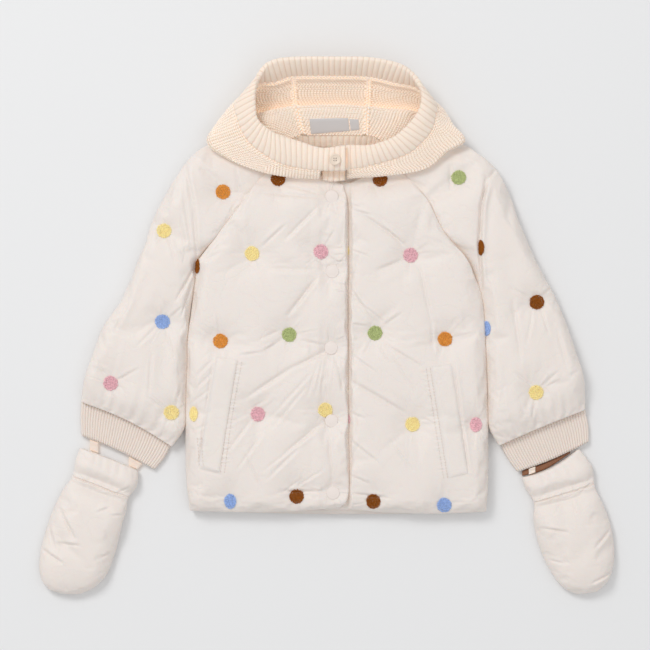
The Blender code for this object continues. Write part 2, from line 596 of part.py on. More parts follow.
def build_cuff(name, sections, look, collection):
    """A flattened rib tube. The ribs rise over its upper half; its underside is flat."""
    table = spline(sections, np.array([0, 0.7, 1.4, 2]))
    inner_edge, outer_edge, bow = table[:, 0:2], table[:, 2:4], table[:, 4]
    toward = unit(inner_edge[-1] + outer_edge[-1] - inner_edge[0] - outer_edge[0])
    width = np.linalg.norm(outer_edge - inner_edge, axis=1)
    ribs = int(round(width.mean() / CUFF_RIB_PITCH))
    height = 2 * CUFF_WALL + LAYER_GAP
    top = np.linspace(0, 1, 2 * ribs + 1)
    under = np.linspace(1, 0, 9)[1:-1]
    share = np.concatenate([top, under])
    over = np.concatenate([np.ones(len(top)), np.zeros(len(under))])[None]
    rib = np.concatenate([np.where(np.arange(len(top)) % 2, CUFF_RIB_RISE, 0), np.zeros(len(under))])
    rib[[0, len(top) - 1]] = 0

    def grid(draw_in, wall, raised):
        part = draw_in / width[:, None] + (1 - 2 * draw_in / width[:, None]) * share[None]
        plan = bowed(inner_edge[:, None] * (1 - part[..., None]) + outer_edge[:, None] * part[..., None], part, bow, toward)
        from_edge = np.minimum(share, 1 - share)[None] * width[:, None]
        nose = rounding(from_edge, height / 2)
        swell = (height / 2 - wall) * nose
        z = height / 2 + np.where(over > 0, swell + raised * nose, -swell)
        return to_world(plan, z)

    return wall_mesh(name, grid(0, 0, rib[None]), grid(CUFF_WALL, CUFF_WALL, 0), look, collection, ring=True)


# ---- hood --------------------------------------------------------------------------
HOOD_GUIDES = (HOOD_MOUTH, HOOD_SEAM, HOOD_EDGE, HOOD_TUCK, HOOD_CREST, HOOD_NECK)


def hood_middle(u, v):
    """Middle of the hood's wall, in world metres.

    u is the section number round the face opening. v runs from the mouth edge (0) over
    the brim seam (1), outer edge (2), tuck (3) and crest (4) to the neck (5).
    """
    u, v = np.broadcast_arrays(np.asarray(u, float), np.asarray(v, float))
    rows = np.stack([spline(guide, u) for guide in HOOD_GUIDES], axis=0)
    ends = np.concatenate([2 * rows[:1] - rows[1:2], rows, 2 * rows[-1:] - rows[-2:-1]])
    first = np.clip(v.astype(int), 0, len(rows) - 2)
    f = (v - first)[..., None]
    a, b, c, d = (np.take_along_axis(ends, (first + k)[None, ..., None], axis=0)[0] for k in range(4))
    place = 0.5 * (2 * b + (c - a) * f + (2 * a - 5 * b + 4 * c - d) * f**2 + (3 * b - 3 * c + d - a) * f**3)
    bulge = BRIM_BULGE * np.sin(math.pi * np.clip(v, 0, 1))
    return to_world(place[..., :2], place[..., 2] + bulge)


def hood_wall(u_values, v_values, thickness):
    """Both faces of a stretch of the hood, rows along v and columns along u."""
    v, u = np.meshgrid(v_values, u_values, indexing="ij")
    step = 0.04
    along_u = hood_middle(u + step, v) - hood_middle(u - step, v)
    along_v = hood_middle(u, v + step) - hood_middle(u, v - step)
    normal = np.cross(along_u, along_v)
    normal /= np.linalg.norm(normal, axis=-1, keepdims=True)
    half = np.broadcast_to(thickness, u.shape)[..., None] * MM / 2
    middle = hood_middle(u, v)
    return middle + normal * half, middle - normal * half


def rib_sections():
    """Section numbers one half rib apart, measured along the middle of the brim."""
    fine = np.linspace(0.0, len(HOOD_MOUTH) - 1.0, 2000)
    line = hood_middle(fine, np.full(len(fine), 0.5)) / MM
    lengths = np.concatenate([[0], np.cumsum(np.linalg.norm(np.diff(line, axis=0), axis=1))])
    halves = 2 * int(round(lengths[-1] / BRIM_RIB_PITCH))
    return np.interp(np.linspace(0, lengths[-1], halves + 1), lengths, fine)


def build_brim(look, collection):
    sections = rib_sections()
    rise = BRIM_RIB_RISE * 2 * (np.arange(len(sections)) % 2)
    across = np.array([0.0, 0.5, 0.985])
    taper = np.array([0.85, 1.0, 0.92])[:, None]
    outer, inner = hood_wall(sections, across, (BRIM_KNIT + rise[None]) * taper)
    return wall_mesh("hood_brim", outer, inner, look, collection)


def build_hood_panel(name, start, end, count, look, collection):
    margin = 0.012
    sections = np.linspace(start + margin, end - margin, count + 1)
    lines = np.array([1.02, 1.35, 1.65, 1.85, 2.0, 2.15, 2.35, 2.65, 3.0, 3.35, 3.65, 4.0, 4.35, 4.7, 5.0])
    outer, inner = hood_wall(sections, lines, KNIT)
    return wall_mesh(name, outer, inner, look, collection)


def build_rib_strip(name, guide, look, collection):
    """A short rib-knitted strip between two edge lines."""
    at = np.asarray(guide, float)
    length = np.linalg.norm(np.diff(at[:, :2], axis=0), axis=1).sum()
    halves = 2 * int(round(length / NECK_RIB_PITCH))
    line = spline(at, np.linspace(0, len(at) - 1, halves + 1))
    share = np.array([0.0, 0.5, 1.0])[:, None, None]
    place = line[None, :, :3] * (1 - share) + line[None, :, 3:] * share
    rise = BRIM_RIB_RISE * (np.arange(halves + 1) % 2)[None]
    half = NECK_KNIT / 2
    top = to_world(place[..., :2], place[..., 2] + half + rise)
    under = to_world(place[..., :2], place[..., 2] - half)
    return wall_mesh(name, top, under, look, collection)


# ---- small parts ---------------------------------------------------------------------
SNAP_PROFILE = ((0, 0), (6.2, 0), (6.5, 0.7), (6.1, 1.7), (5.2, 2.0), (4.3, 1.4), (0, 1.3))
BUTTON_PROFILE = ((0, 0), (4.6, 0), (5.8, 1.0), (5.5, 2.1), (4.6, 2.3), (3.9, 1.6), (0, 1.5))


def turned(name, profile, steps, plan, height, look, collection):
    """A turned solid from its half profile of radius and height."""
    mesh = bpy.data.meshes.new(name)
    points = [(r * MM, 0, z * MM) for r, z in profile]
    mesh.from_pydata(points, [(i, i + 1) for i in range(len(points) - 1)], [])
    made = add_object(name, mesh, look, collection)
    made.location = to_world(plan, height)
    screw = made.modifiers.new("turn", "SCREW")
    screw.axis = "Z"
    screw.steps = screw.render_steps = steps
    screw.use_merge_vertices = True
    screw.merge_threshold = 0.00001
    screw.use_smooth_shade = True
    screw.use_normal_calculate = True
    return made


def seat_height(surface, plan, radius):
    """Highest point under a disc."""
    turns = np.linspace(0, 2 * math.pi, 16, endpoint=False)
    spots = [plan, *((plan[0] + r * math.cos(t), plan[1] + r * math.sin(t)) for t in turns for r in (radius / 2, radius))]
    return max(h for h in (surface.height(*spot) for spot in spots) if h is not None)


def laid_on(name, corners, rows, columns, lift, thickness, surface, look, collection):
    """A thin piece made from the points of what it lies on, moved out."""
    upper_left, upper_right, lower_right, lower_left = (np.array(c, float) for c in corners)
    s, t = np.meshgrid(np.linspace(0, 1, columns + 1), np.linspace(0, 1, rows + 1))
    s, t = s[..., None], t[..., None]
    plan = (1 - t) * ((1 - s) * upper_left + s * upper_right) + t * ((1 - s) * lower_left + s * lower_right)
    seat = np.array([[surface.height(*p) for p in line] for line in plan]) + lift
    rim = np.minimum.reduce([s[..., 0], 1 - s[..., 0], t[..., 0] * 4, (1 - t[..., 0]) * 4])
    rise = thickness * (0.7 + 0.3 * rounding(rim, 0.2))
    return wall_mesh(name, to_world(plan, seat + rise), to_world(plan, seat), look, collection)


def flat_piece(name, upper_edge, lower_edge, low, high, look, collection):
    """A small piece of cloth between two edges, with its faces level."""
    plan = np.array([upper_edge, lower_edge], float)
    return wall_mesh(name, to_world(plan, high), to_world(plan, low), look, collection)


# upper edge, lower edge, lower and upper height
MITTEN_TABS = (
    (((89, 440.2), (97.5, 443.0)), ((89, 450.6), (97.5, 453.4)), 2.6, 5.0),
    (((128, 457.3), (134.5, 460.8), (141.5, 464.6)), ((128, 465.8), (133, 468.0), (136.5, 469.6)), 2.6, 5.0),
    (((529.5, 469.4), (536, 467.0)), ((529.5, 475.0), (536, 472.9)), 5.3, 7.2),
)
LINING_STRIP = (((523, 471.6), (546, 463.2), (571, 451.9)), ((523, 476.6), (546, 469.9), (571, 453.9)), 1.4, 4.9)


def clear_scene():
    for item in list(bpy.data.objects):
        bpy.data.objects.remove(item, do_unlink=True)


def main():
    clear_scene()
    jacket = bpy.data.collections.new("padded_jacket")
    bpy.context.scene.collection.children.link(jacket)
    shell = material("shell", SHELL_COLOUR, 0.42)
    knit = material("knit", KNIT_COLOUR, 0.95)
    plastic = material("plastic", SNAP_COLOUR, 0.35)
    woven = material("woven", LABEL_COLOUR, 0.75)
    lining = material("lining", LINING_COLOUR, 0.9)

    build_back(shell, jacket)
    front_left = build_front("front_left", SIDE_LEFT, RAGLAN_LEFT, PLACKET_LOWER, False, shell, jacket)
    front_right = build_front("front_right", SIDE_RIGHT, RAGLAN_RIGHT, PLACKET_UPPER, True, shell, jacket)
    build_sleeve("sleeve_right", SLEEVE_RIGHT, CUFF_RIGHT, shell, jacket)
    build_sleeve("sleeve_left", SLEEVE_LEFT, CUFF_LEFT, shell, jacket)
    build_cuff("cuff_right", CUFF_RIGHT, knit, jacket)
    build_cuff("cuff_left", CUFF_LEFT, knit, jacket)

    for name, sections in (("mitten_right", MITTEN_RIGHT), ("mitten_left", MITTEN_LEFT)):
        last = len(sections) - 1
        rows = np.concatenate([[0, 0.3, 0.8, 1.3, 1.75, 2, 2.25, 2.6], np.linspace(3, last, 10)])
        outer, inner = pouch_points(sections, rows, 7.0)
        close_tip(outer, inner, name, shell, jacket)
    for number, (upper_edge, lower_edge, low, high) in enumerate(MITTEN_TABS, 1):
        flat_piece(f"mitten_tab_{number}", upper_edge, lower_edge, low, high, knit, jacket)
    flat_piece("mitten_lining_left", *LINING_STRIP, lining, jacket)

    brim = build_brim(knit, jacket)
    first, right_seam, left_seam, last = HOOD_JOINS
    build_hood_panel("hood_side_right", first, right_seam, 16, knit, jacket)
    centre = build_hood_panel("hood_center", right_seam, left_seam, 6, knit, jacket)
    build_hood_panel("hood_side_left", left_seam, last, 16, knit, jacket)
    build_rib_strip("neck_rib", NECK_RIB, knit, jacket)
    build_rib_strip("neck_rib_end", NECK_RIB_END, knit, jacket)

    fronts = Surface(front_right, front_left)
    laid_on("pocket_welt_right", WELT_RIGHT, 9, 3, 0.7, WELT_RISE, fronts, shell, jacket)
    laid_on("pocket_welt_left", WELT_LEFT, 9, 3, 0.7, WELT_RISE, fronts, shell, jacket)
    nape = Surface(centre)
    laid_on("label", LABEL, 3, 8, 0.5, TAPE / 2, nape, woven, jacket)
    laid_on("size_tab", SIZE_TAB, 3, 2, 0.8, TAPE / 2, nape, woven, jacket)
    for number, spot in enumerate(SNAPS, 1):
        height = seat_height(fronts, spot, SNAP_RADIUS - 1) + 0.3
        turned(f"snap_{number}", SNAP_PROFILE, 18, spot, height, plastic, jacket)
    height = seat_height(Surface(brim), BUTTON_AT, BUTTON_RADIUS - 1) + 0.3
    turned("hood_button", BUTTON_PROFILE, 20, BUTTON_AT, height, plastic, jacket)


main()
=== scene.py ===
"""The finished look of a child's padded jacket with a knitted hood, laid flat.

Plan sizes are in millimetres from the left and the top of the laid-out garment, as in
its frame, and heights are in millimetres above the surface it lies on. Tables have one
row for each section, crease or spot.
"""

import logging
import math
from dataclasses import dataclass, field
from enum import Enum

import bmesh
import bpy
import numpy as np
from bpy.types import Material, Mesh, Node, NodeSocket, NodeTree, Object
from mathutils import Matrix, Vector
from mathutils.bvhtree import BVHTree


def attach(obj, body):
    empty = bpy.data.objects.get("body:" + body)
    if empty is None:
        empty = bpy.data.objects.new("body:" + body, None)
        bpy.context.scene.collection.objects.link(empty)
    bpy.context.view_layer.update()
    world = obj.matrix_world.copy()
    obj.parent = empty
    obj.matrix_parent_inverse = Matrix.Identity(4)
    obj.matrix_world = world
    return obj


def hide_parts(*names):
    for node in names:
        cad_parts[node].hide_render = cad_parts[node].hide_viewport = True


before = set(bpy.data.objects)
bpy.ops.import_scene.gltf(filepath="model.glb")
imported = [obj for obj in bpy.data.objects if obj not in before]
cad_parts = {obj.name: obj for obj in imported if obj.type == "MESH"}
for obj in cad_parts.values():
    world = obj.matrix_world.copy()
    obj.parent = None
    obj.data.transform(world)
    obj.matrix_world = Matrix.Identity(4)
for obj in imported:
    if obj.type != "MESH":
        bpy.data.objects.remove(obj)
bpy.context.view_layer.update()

logging.basicConfig(level=logging.INFO, format="%(message)s")
log = logging.getLogger("jacket")
Array = np.ndarray
BODY = "root"

MM = 0.001  # metres
PLAN_CENTRE = (334.5, 327.0)  # the frame's origin in plan

# ---- cloth -------------------------------------------------------------------
BACK_PAD = 9.0  # height of the lower padded layer
LAYER_GAP = 0.6  # between the lower and the upper layer
FRONT_BASE = BACK_PAD + LAYER_GAP
MID_HEIGHT = BACK_PAD + LAYER_GAP / 2
PUFF = 16.0  # upper layer where the filling is free
PRESSED_PAD = 7.0  # upper layer under the hood
DOT_WIDTH = 15.0  # how far an embroidered dot holds the filling down
EDGE_ROUND = 15.0  # rounding of a puffed outer edge
UNDER_ROUND = 9.0  # rounding of the lower layer's outer edge
PLACKET_PAD = 4.8  # the lower placket edge under the upper one
WALL = 8.0  # padded wall at a fold
SLEEVE_GATHERS, MITTEN_GATHERS = 10, 8  # across the visible half, above a cuff or a band seam
GATHER_RISE = 1.5
GATHER_LENGTH = 22.0

KNIT = 3.2
BRIM_KNIT = 4.2
BRIM_RIB_PITCH = 5.5
BRIM_RIB_RISE = 0.7
CUFF_RIB_PITCH = 2.7
CUFF_RIB_RISE = 0.45
FURROW = 0.4  # how far the furrows of cuffs and neck ribs lie below the plain wall
CUFF_WALL = 3.2
NECK_RIB_PITCH = 5.5

SNAP_RADIUS = 6.5
BUTTON_RADIUS = 5.8

# ---- outlines of the flat pieces, in plan ------------------------------------
# side, from the hem corner up to the underarm
SIDE_RIGHT = ((191, 511), (187, 470), (187, 400), (189.5, 340), (198, 262))
SIDE_LEFT = ((485, 512), (487, 480), (487, 420), (484.5, 350), (481, 300), (474.5, 279))
# front raglan seam, from the underarm up to the neck
RAGLAN_RIGHT = ((198, 262), (218, 236), (240, 207), (265, 175), (289, 160))
RAGLAN_LEFT = ((474.5, 279), (465, 259), (443, 232), (425, 200), (404, 176), (386, 161))
# back raglan seam
BACK_RAGLAN_RIGHT = ((198, 262), (222, 227), (246, 193), (272, 160), (296, 133))
BACK_RAGLAN_LEFT = ((474.5, 279), (465, 255), (445, 225), (424, 192), (399, 160), (374, 133))
# placket edges, from the hem up to the neck
PLACKET_UPPER = ((340, 508), (349, 493), (348.5, 420), (348, 350), (348, 280), (348, 210), (343, 184))
PLACKET_LOWER = ((324, 510), (323, 493), (323, 420), (323, 350), (323, 280), (323, 210), (323, 182))
LAP_EDGE = 351.0  # the lower front is thin on the placket side of this line
HEM_SAG = 3.0
UNDERARM_SHARE = 0.72  # how far up a panel's rows the underarm lies

# ---- sleeves: a row for each section, neck to wrist --------------------------
# front edge x, y; outer fold x, y; back edge x, y; pad of the upper layer
SLEEVE_RIGHT = (
    (288.5, 158.5, 284, 134, 295, 131, 6.5),
    (264, 174, 246, 137, 270.5, 158.5, 7),
    (239, 205.5, 209, 144.5, 245, 191.5, 10),
    (217, 234.5, 187, 161.5, 221, 225.5, 15),
    (197, 259.5, 161, 203, 197, 259.5, 16),
    (193.5, 283, 141, 248, 193.5, 283, 16),
    (188, 320, 121.5, 296, 188, 320, 16),
    (186, 365, 103, 326, 186, 365, 16),
    (184.7, 405, 92.5, 352, 184.7, 405, 16),
    (183, 428, 83.5, 377, 183, 428, 15),
    (170.5, 446.5, 80, 402, 170.5, 446.5, 4.5),
)
SLEEVE_LEFT = (
    (386.5, 159.5, 388, 134, 375, 131, 6.5),
    (405.5, 174.5, 424, 137, 400.5, 158.5, 7),
    (426.5, 198, 463, 144, 425.5, 190.5, 10),
    (444.5, 230.5, 495, 167.5, 446, 223, 15),
    (466.5, 257.5, 513, 201, 466.5, 253.5, 16),
    (477, 279, 534, 251, 477, 279, 16),
    (484, 312, 552, 290, 484, 312, 16),
    (486.5, 350, 565.5, 319, 486.5, 350, 16),
    (489, 391, 577, 351, 489, 391, 16),
    (490, 425, 584.5, 377, 490, 425, 15),
    (500.5, 445.5, 586.5, 410, 500.5, 445.5, 4.5),
)
UNDERARM_ROW = 4  # sections from this one on close at the underarm seam

# ---- flattened rib tubes -------------------------------------------------------
# inner edge x, y, outer edge x, y, and bow towards the wrist, a row for each section
CUFF_RIGHT = (
    (170.35, 446.9, 79.9, 402.4, -4.0),
    (163.5, 458.7, 79.5, 418.8, -3.0),
    (154.2, 470.0, 80.5, 435.8, -2.0),
)
CUFF_LEFT = (
    (500.65, 445.9, 586.65, 410.4, -1.0),
    (508.6, 459.8, 589.5, 426.3, 0.5),
    (517.8, 472.2, 590.0, 441.8, 2.0),
)

# ---- mittens: left x, y, right x, y, pad and bow of each section, mouth to tip ---
MITTEN_RIGHT = (
    (79, 447.8, 138.2, 471.2, 5.5, -1),
    (74, 462, 136.5, 486, 10.5, 0),
    (71.3, 476, 128.5, 498.2, 3.8, 0),
    (62.5, 490, 126, 512, 11, 0),
    (53.5, 509, 121, 530, 13, 0),
    (46, 530, 115.5, 549, 13, 0),
    (40, 553, 109.5, 567, 13, 0),
    (39, 573, 103, 579, 12, 0),
    (46, 588, 92, 588.5, 9, 0),
    (61, 594.5, 80, 594.5, 3.5, 0),
)
MITTEN_LEFT = (
    (521.9, 477.8, 580, 448.4, 5.5, 5),
    (526, 490, 592.5, 466.5, 10.5, 2),
    (533.6, 502.8, 595.4, 484.1, 3.8, 1),
    (534, 519, 602, 500, 11, 0),
    (537.5, 537, 609, 518.5, 13, 0),
    (543.5, 555, 614, 541, 13, 0),
    (552.5, 573, 614, 565.5, 13, 0),
    (563.5, 587.5, 608, 582, 11, 0),
    (577, 595, 597.5, 592.5, 3.5, 0),
)
MITTEN_SEAM_ROW = 2

# ---- hood: a row for each section round the face opening, from the front end on
# the wearer's right, over the top, to the front end on the wearer's left.
# Each guide line is x, y, height.
HOOD_MOUTH = (
    (345.5, 147, 36.8), (322, 149, 35), (298, 142, 35), (277, 135, 36), (264.5, 127, 37), (258, 119, 37.5),
    (256.5, 108, 37.5), (256.5, 94, 37.5), (261, 75, 38.5), (269.5, 64.5, 39),
    (290, 60, 39), (333, 59.5, 39), (372, 60.5, 39), (400, 67, 39), (413.5, 78, 38.5),
    (420, 94, 37.5), (419, 108, 37.5), (413, 119, 37.5), (402, 131, 37), (391, 139, 36),
    (370, 146, 34), (347, 146, 29.5), (323.5, 149, 28),
)
HOOD_SEAM = (
    (345.5, 171.5, 33.6), (321, 171, 31.6), (298, 168.5, 30.5), (277, 162.5, 31), (253, 146.5, 31.5),
    (242.5, 132, 31.5),
    (238, 119, 30.5), (237, 105, 27), (256, 84.5, 19), (275, 82, 19),
    (293, 76.5, 20), (333, 76, 20), (369, 77, 20), (394, 82.5, 19), (417.5, 88, 19),
    (434.5, 106, 27), (434, 119, 30.5), (431, 131, 31.5), (422, 142.5, 31.5), (406, 155, 31),
    (376, 164.5, 29.5), (347, 170, 26), (323.5, 170, 24.6),
)
HOOD_EDGE = (
    (345.5, 178.5, 26), (320, 178, 24), (292, 176.5, 24.5), (262, 171, 25), (232.5, 160, 25), (210, 143.5, 24),
    (216, 127, 17), (232.5, 107.5, 13), (255, 91, 10), (279, 91, 10),
    (294, 87, 10), (333, 87, 10), (369, 87, 10), (391, 91, 10), (416, 95, 10),
    (440.5, 109.5, 13), (452, 126, 17), (462.5, 140.5, 24), (446.5, 151, 25), (424.5, 168, 25),
    (388, 174.5, 24.5), (347, 177.5, 23), (324, 178, 22),
)
HOOD_TUCK = (
    (345, 173, 21), (320.5, 173, 19.6), (293, 171, 19.6), (266, 164, 19.6), (241, 153, 20), (222, 141, 20),
    (230, 127, 5), (243, 119, 2.2), (263, 113, 2), (283, 112, 2),
    (296, 112, 2), (333, 111.5, 2), (368, 112, 2), (387, 112, 2), (408, 113, 2),
    (429, 119, 2.2), (440, 128, 5), (450, 140, 20), (436, 147, 20), (419, 160, 19.6),
    (386, 169, 19.6), (347, 172.5, 19.6), (324, 173, 19.6),
)
HOOD_CREST = (
    (345, 170, 20), (321, 170, 19.6), (300, 167, 19.6), (280, 160, 19.6), (266, 150, 19.6), (256, 143, 19.6),
    (257, 130, 20), (258, 120, 20.5), (272, 114, 22), (284, 111.5, 23.5),
    (297, 109.5, 24), (335, 108, 24), (367, 109.5, 24), (381, 111.5, 23), (397, 112.5, 22),
    (410, 115, 20.5), (416, 127, 20), (417, 143, 19.6), (408, 150, 19.6), (395, 160, 19.6),
    (372, 166, 19.6), (347, 169.5, 19.6), (324, 170, 19.6),
)
HOOD_NECK = (
    (345, 167, 19.6), (322, 167, 19.6), (307, 164, 19.6), (296, 158, 19.6), (290, 152, 19.6), (288, 147, 19.6),
    (289, 143, 19.4), (292, 140, 19.2), (296, 137.5, 19), (300, 136.5, 18.8),
    (304, 136, 18.6), (335, 135.5, 18.6), (366, 136, 18.6), (370, 136.5, 18.8), (374, 137.5, 19),
    (378, 140, 19.2), (381, 143, 19.4), (382, 147, 19.6), (380, 152, 19.6), (374, 158, 19.6),
    (362, 164, 19.6), (347, 167, 19.6), (324, 167, 19.6),
)
# sections where the knitted pieces meet: front end, two crown seams, front end; the
# first and last sections carry the lapped brim ends
HOOD_JOINS = (1, 10, 12, 21)
BRIM_BULGE = 3.0

# ---- neck rib: x, y, height of its upper and lower edges, from one end to the other
NECK_RIB = (
    (289.5, 139.0, 13.4, 291, 149.5, 10.9),
    (301.5, 135.5, 14.3, 303, 148.0, 10.9),
    (318, 134.6, 14.4, 319, 148.0, 10.9),
    (335, 134.2, 14.4, 335, 148.0, 10.9),
    (352, 134.6, 14.4, 351, 148.0, 10.9),
    (368.5, 135.5, 14.3, 367, 148.0, 10.9),
    (380.5, 139.0, 13.4, 379, 149.5, 10.9),
)
NECK_RIB_END = (
    (322.4, 169, 20.6, 322.4, 180.8, 20.6),
    (333.5, 169, 20.9, 333.5, 181.8, 20.9),
    (345, 169, 20.6, 345, 180.8, 20.6),
)
NECK_KNIT = 2.6

# ---- small parts --------------------------------------------------------------
SNAPS = ((331.8, 196.7), (332.3, 271.5), (331.0, 347.9), (331.4, 420.6), (333.0, 492.5))
BUTTON_AT = (335.0, 161.0)
# largest creases: x, y of both ends, depth, half width
CREASES = (
    (325, 352, 246, 398, 3.0, 7), (317, 270, 268, 269, 2.5, 9), (318, 207, 286, 239, 3.0, 7),
    (325, 198, 262, 193, 3.0, 7), (317, 278, 288, 315, 2.5, 7), (323, 422, 285, 452, 2.5, 7),
    (280, 489, 322, 489, 2.0, 6), (361, 214, 404, 244, 3.0, 8), (378, 270, 402, 260, 2.0, 6),
    (418, 262, 431, 321, 2.5, 7), (351, 289, 372, 321, 2.0, 7), (351, 381, 404, 412, 3.0, 8),
    (350, 475, 369, 483, 2.0, 6), (327.5, 428, 333, 483, 2.0, 5), (185, 163, 197.5, 250, 4.5, 8),
    (235.5, 167, 239.5, 192, 2.0, 5), (450, 167, 450, 191, 2.0, 5), (489, 178, 479, 262, 4.5, 8),
    (152, 262, 128, 330, 3.0, 8), (178, 290, 158, 388, 3.0, 8), (506, 262, 520, 350, 3.0, 8),
    (548, 300, 560, 380, 3.0, 8), (500, 340, 508, 420, 3.0, 8), (120, 345, 104, 372, 2.0, 7),
    (80, 505, 100, 540, 2.0, 7), (60, 540, 88, 566, 2.0, 7), (566, 510, 560, 545, 2.0, 7),
    (590, 540, 570, 568, 2.0, 7),
)
# welts: corners x, y, from the upper inner one, clockwise seen from above
WELT_RIGHT = ((237.5, 359.5), (217.0, 356.5), (198.5, 465), (219.5, 472))
WELT_LEFT = ((430.5, 366.5), (450.5, 364.5), (467.5, 473), (447.5, 477.5))
LABEL = ((309.4, 119.5), (348.0, 118.8), (349.5, 131.5), (311.0, 134.5))
SIZE_TAB = ((349.4, 119.8), (358.4, 120.2), (359.4, 130.2), (350.6, 131.2))
TAPE = 1.8
# tabs and lining strip: upper edge, lower edge, lower and upper height
MITTEN_TABS = (
    (((89, 440.2), (97.5, 443.0)), ((89, 450.6), (97.5, 453.4)), 2.6, 5.0),
    (((128, 457.3), (134.5, 460.8), (141.5, 464.6)), ((128, 465.8), (133, 468.0), (136.5, 469.6)), 2.6, 5.0),
    (((529.5, 469.4), (536, 467.0)), ((529.5, 475.0), (536, 472.9)), 5.3, 7.2),
)
LINING_STRIP = (
    ((523, 471.6), (546, 463.2), (571, 451.9)), ((523, 476.6), (546, 469.9), (571, 453.9)), 1.4, 4.9,
)
# where the hood ends on the fronts: x, y
HOOD_HEM = (
    (180, 118), (208, 143), (231, 161), (260, 173), (291, 178), (335, 182), (387, 176), (426, 169), (448, 151),
    (465, 139), (495, 118),
)

# ---- how the cloth is drawn -----------------------------------------------------
COARSE = 3  # steps of the outer grid to one step of the plain inside
SEAM_REACH = 1.5  # how far sewn edges press into each other
RAGLAN_PAD = 13.0  # filled height at the raglan seams
RAGLAN_ROUND = 5.0
LAP_CLOSE = 3.6  # how far before its line the lower front fills up to the placket
LAP_START, LAP_CLIMB = 309.0, 11.0  # where the upper front climbs over the lower placket edge, and over how much
LAP_THINNER = 4.2  # how much less filling the upper front has there
EDGE_PAD = 2.5  # height left at an outer edge that is sewn shut
PLACKET_EDGE_PADS = (2.6, 2.0)  # height left at the upper and at the lower placket edge
SEAM_PAD_SHARE = 0.85  # share of the free height that a raglan seam leaves at most
SEWN_NEAR = 0.5  # points this near an edge line are sewn
HELD_RADIUS = 6.5  # the cloth is sewn down this far round a dot or a snap
HOOD_PRESS_START, HOOD_PRESS_REACH = 2.0, 24.0  # below the hood's hem, where the filling rises again
DOT_HOLD = 0.3  # share by which a dot or a snap holds the filling down
SOFT_CREASE = 0.55  # share of the large creases that is left beside the fine ones


class Thread(Enum):
    """Colours of the embroidered dots, as sRGB."""

    ORANGE = "#E89D45"
    YELLOW = "#FFE7A4"
    PINK = "#F1C0C8"
    GREEN = "#BDC88A"
    BLUE = "#A2BDEC"
    BROWN = "#925007"


# embroidered dots: x, y, colour, piece, and the share of the width that shows where one wraps round a fold
EMBROIDERY = (
    (223, 192, Thread.ORANGE, "sleeve_right"), (458.6, 177.7, Thread.GREEN, "sleeve_left"),
    (278.2, 179, Thread.BROWN, "front_right"), (380.2, 179.5, Thread.BROWN, "front_left"),
    (164.5, 231, Thread.YELLOW, "sleeve_right"), (252.3, 253.6, Thread.YELLOW, "front_right"),
    (321, 251.8, Thread.PINK, "front_right"), (410.3, 255.3, Thread.PINK, "front_left"),
    (342.5, 251, Thread.YELLOW, "front_left"), (197.8, 266, Thread.BROWN, "front_right", 0.3),
    (480.4, 248, Thread.BROWN, "sleeve_left", 0.35), (162.8, 321.6, Thread.BLUE, "sleeve_right"),
    (486.6, 328.5, Thread.BLUE, "sleeve_left", 0.5), (220.8, 341, Thread.ORANGE, "front_right"),
    (289.3, 334.6, Thread.GREEN, "front_right"), (375, 333, Thread.GREEN, "front_left"),
    (444.6, 339, Thread.ORANGE, "front_left"), (536.2, 302.2, Thread.BROWN, "sleeve_left"),
    (111.2, 383, Thread.PINK, "sleeve_right"), (171.7, 412.3, Thread.YELLOW, "sleeve_right"),
    (194.2, 413.7, Thread.YELLOW, "front_right", 0.55), (258, 413.8, Thread.PINK, "front_right"),
    (325.4, 409.7, Thread.YELLOW, "front_right"), (412.3, 424, Thread.YELLOW, "front_left"),
    (343.5, 419.5, Thread.PINK, "front_left"), (475.5, 424.4, Thread.PINK, "front_left", 0.8),
    (535.6, 392.2, Thread.YELLOW, "sleeve_left"), (230.5, 500.7, Thread.BLUE, "front_right", 0.82),
    (296.7, 495.8, Thread.BROWN, "front_right"), (373.2, 500.7, Thread.BROWN, "front_left"),
    (444, 504.5, Thread.BLUE, "front_left"),
)
# dots that hold the filling down: all but the two on the placket and those that wrap far round a fold
DOTS = tuple((x, y) for x, y, _, _, *shown in EMBROIDERY if min(shown, default=1) > 0.6 and not 340 < x < 345)
# the same dots as guessed on the underside of the back: x, y, colour
BACK_EMBROIDERY = (
    (335, 200, Thread.GREEN), (270, 215, Thread.PINK), (402, 214, Thread.ORANGE),
    (230, 280, Thread.BLUE), (300, 270, Thread.BROWN), (368, 276, Thread.YELLOW), (440, 284, Thread.GREEN),
    (262, 345, Thread.ORANGE), (334, 340, Thread.PINK), (404, 348, Thread.BLUE), (466, 352, Thread.BROWN),
    (222, 412, Thread.YELLOW), (294, 408, Thread.GREEN), (364, 414, Thread.ORANGE), (434, 418, Thread.PINK),
    (256, 474, Thread.BROWN), (328, 478, Thread.BLUE), (398, 476, Thread.YELLOW), (458, 480, Thread.GREEN),
)
MITTEN_GATHER = 0.13  # share of the gathers left in the mittens, whose seam is nearly plain
SEAM_GROOVE = 3.0  # how deep the stitched line of a mitten lies
SEAM_GROOVE_WIDTH = 0.8
CREASE_DEPTH = 1.35  # depth of every fine crease, as a share of what its row says
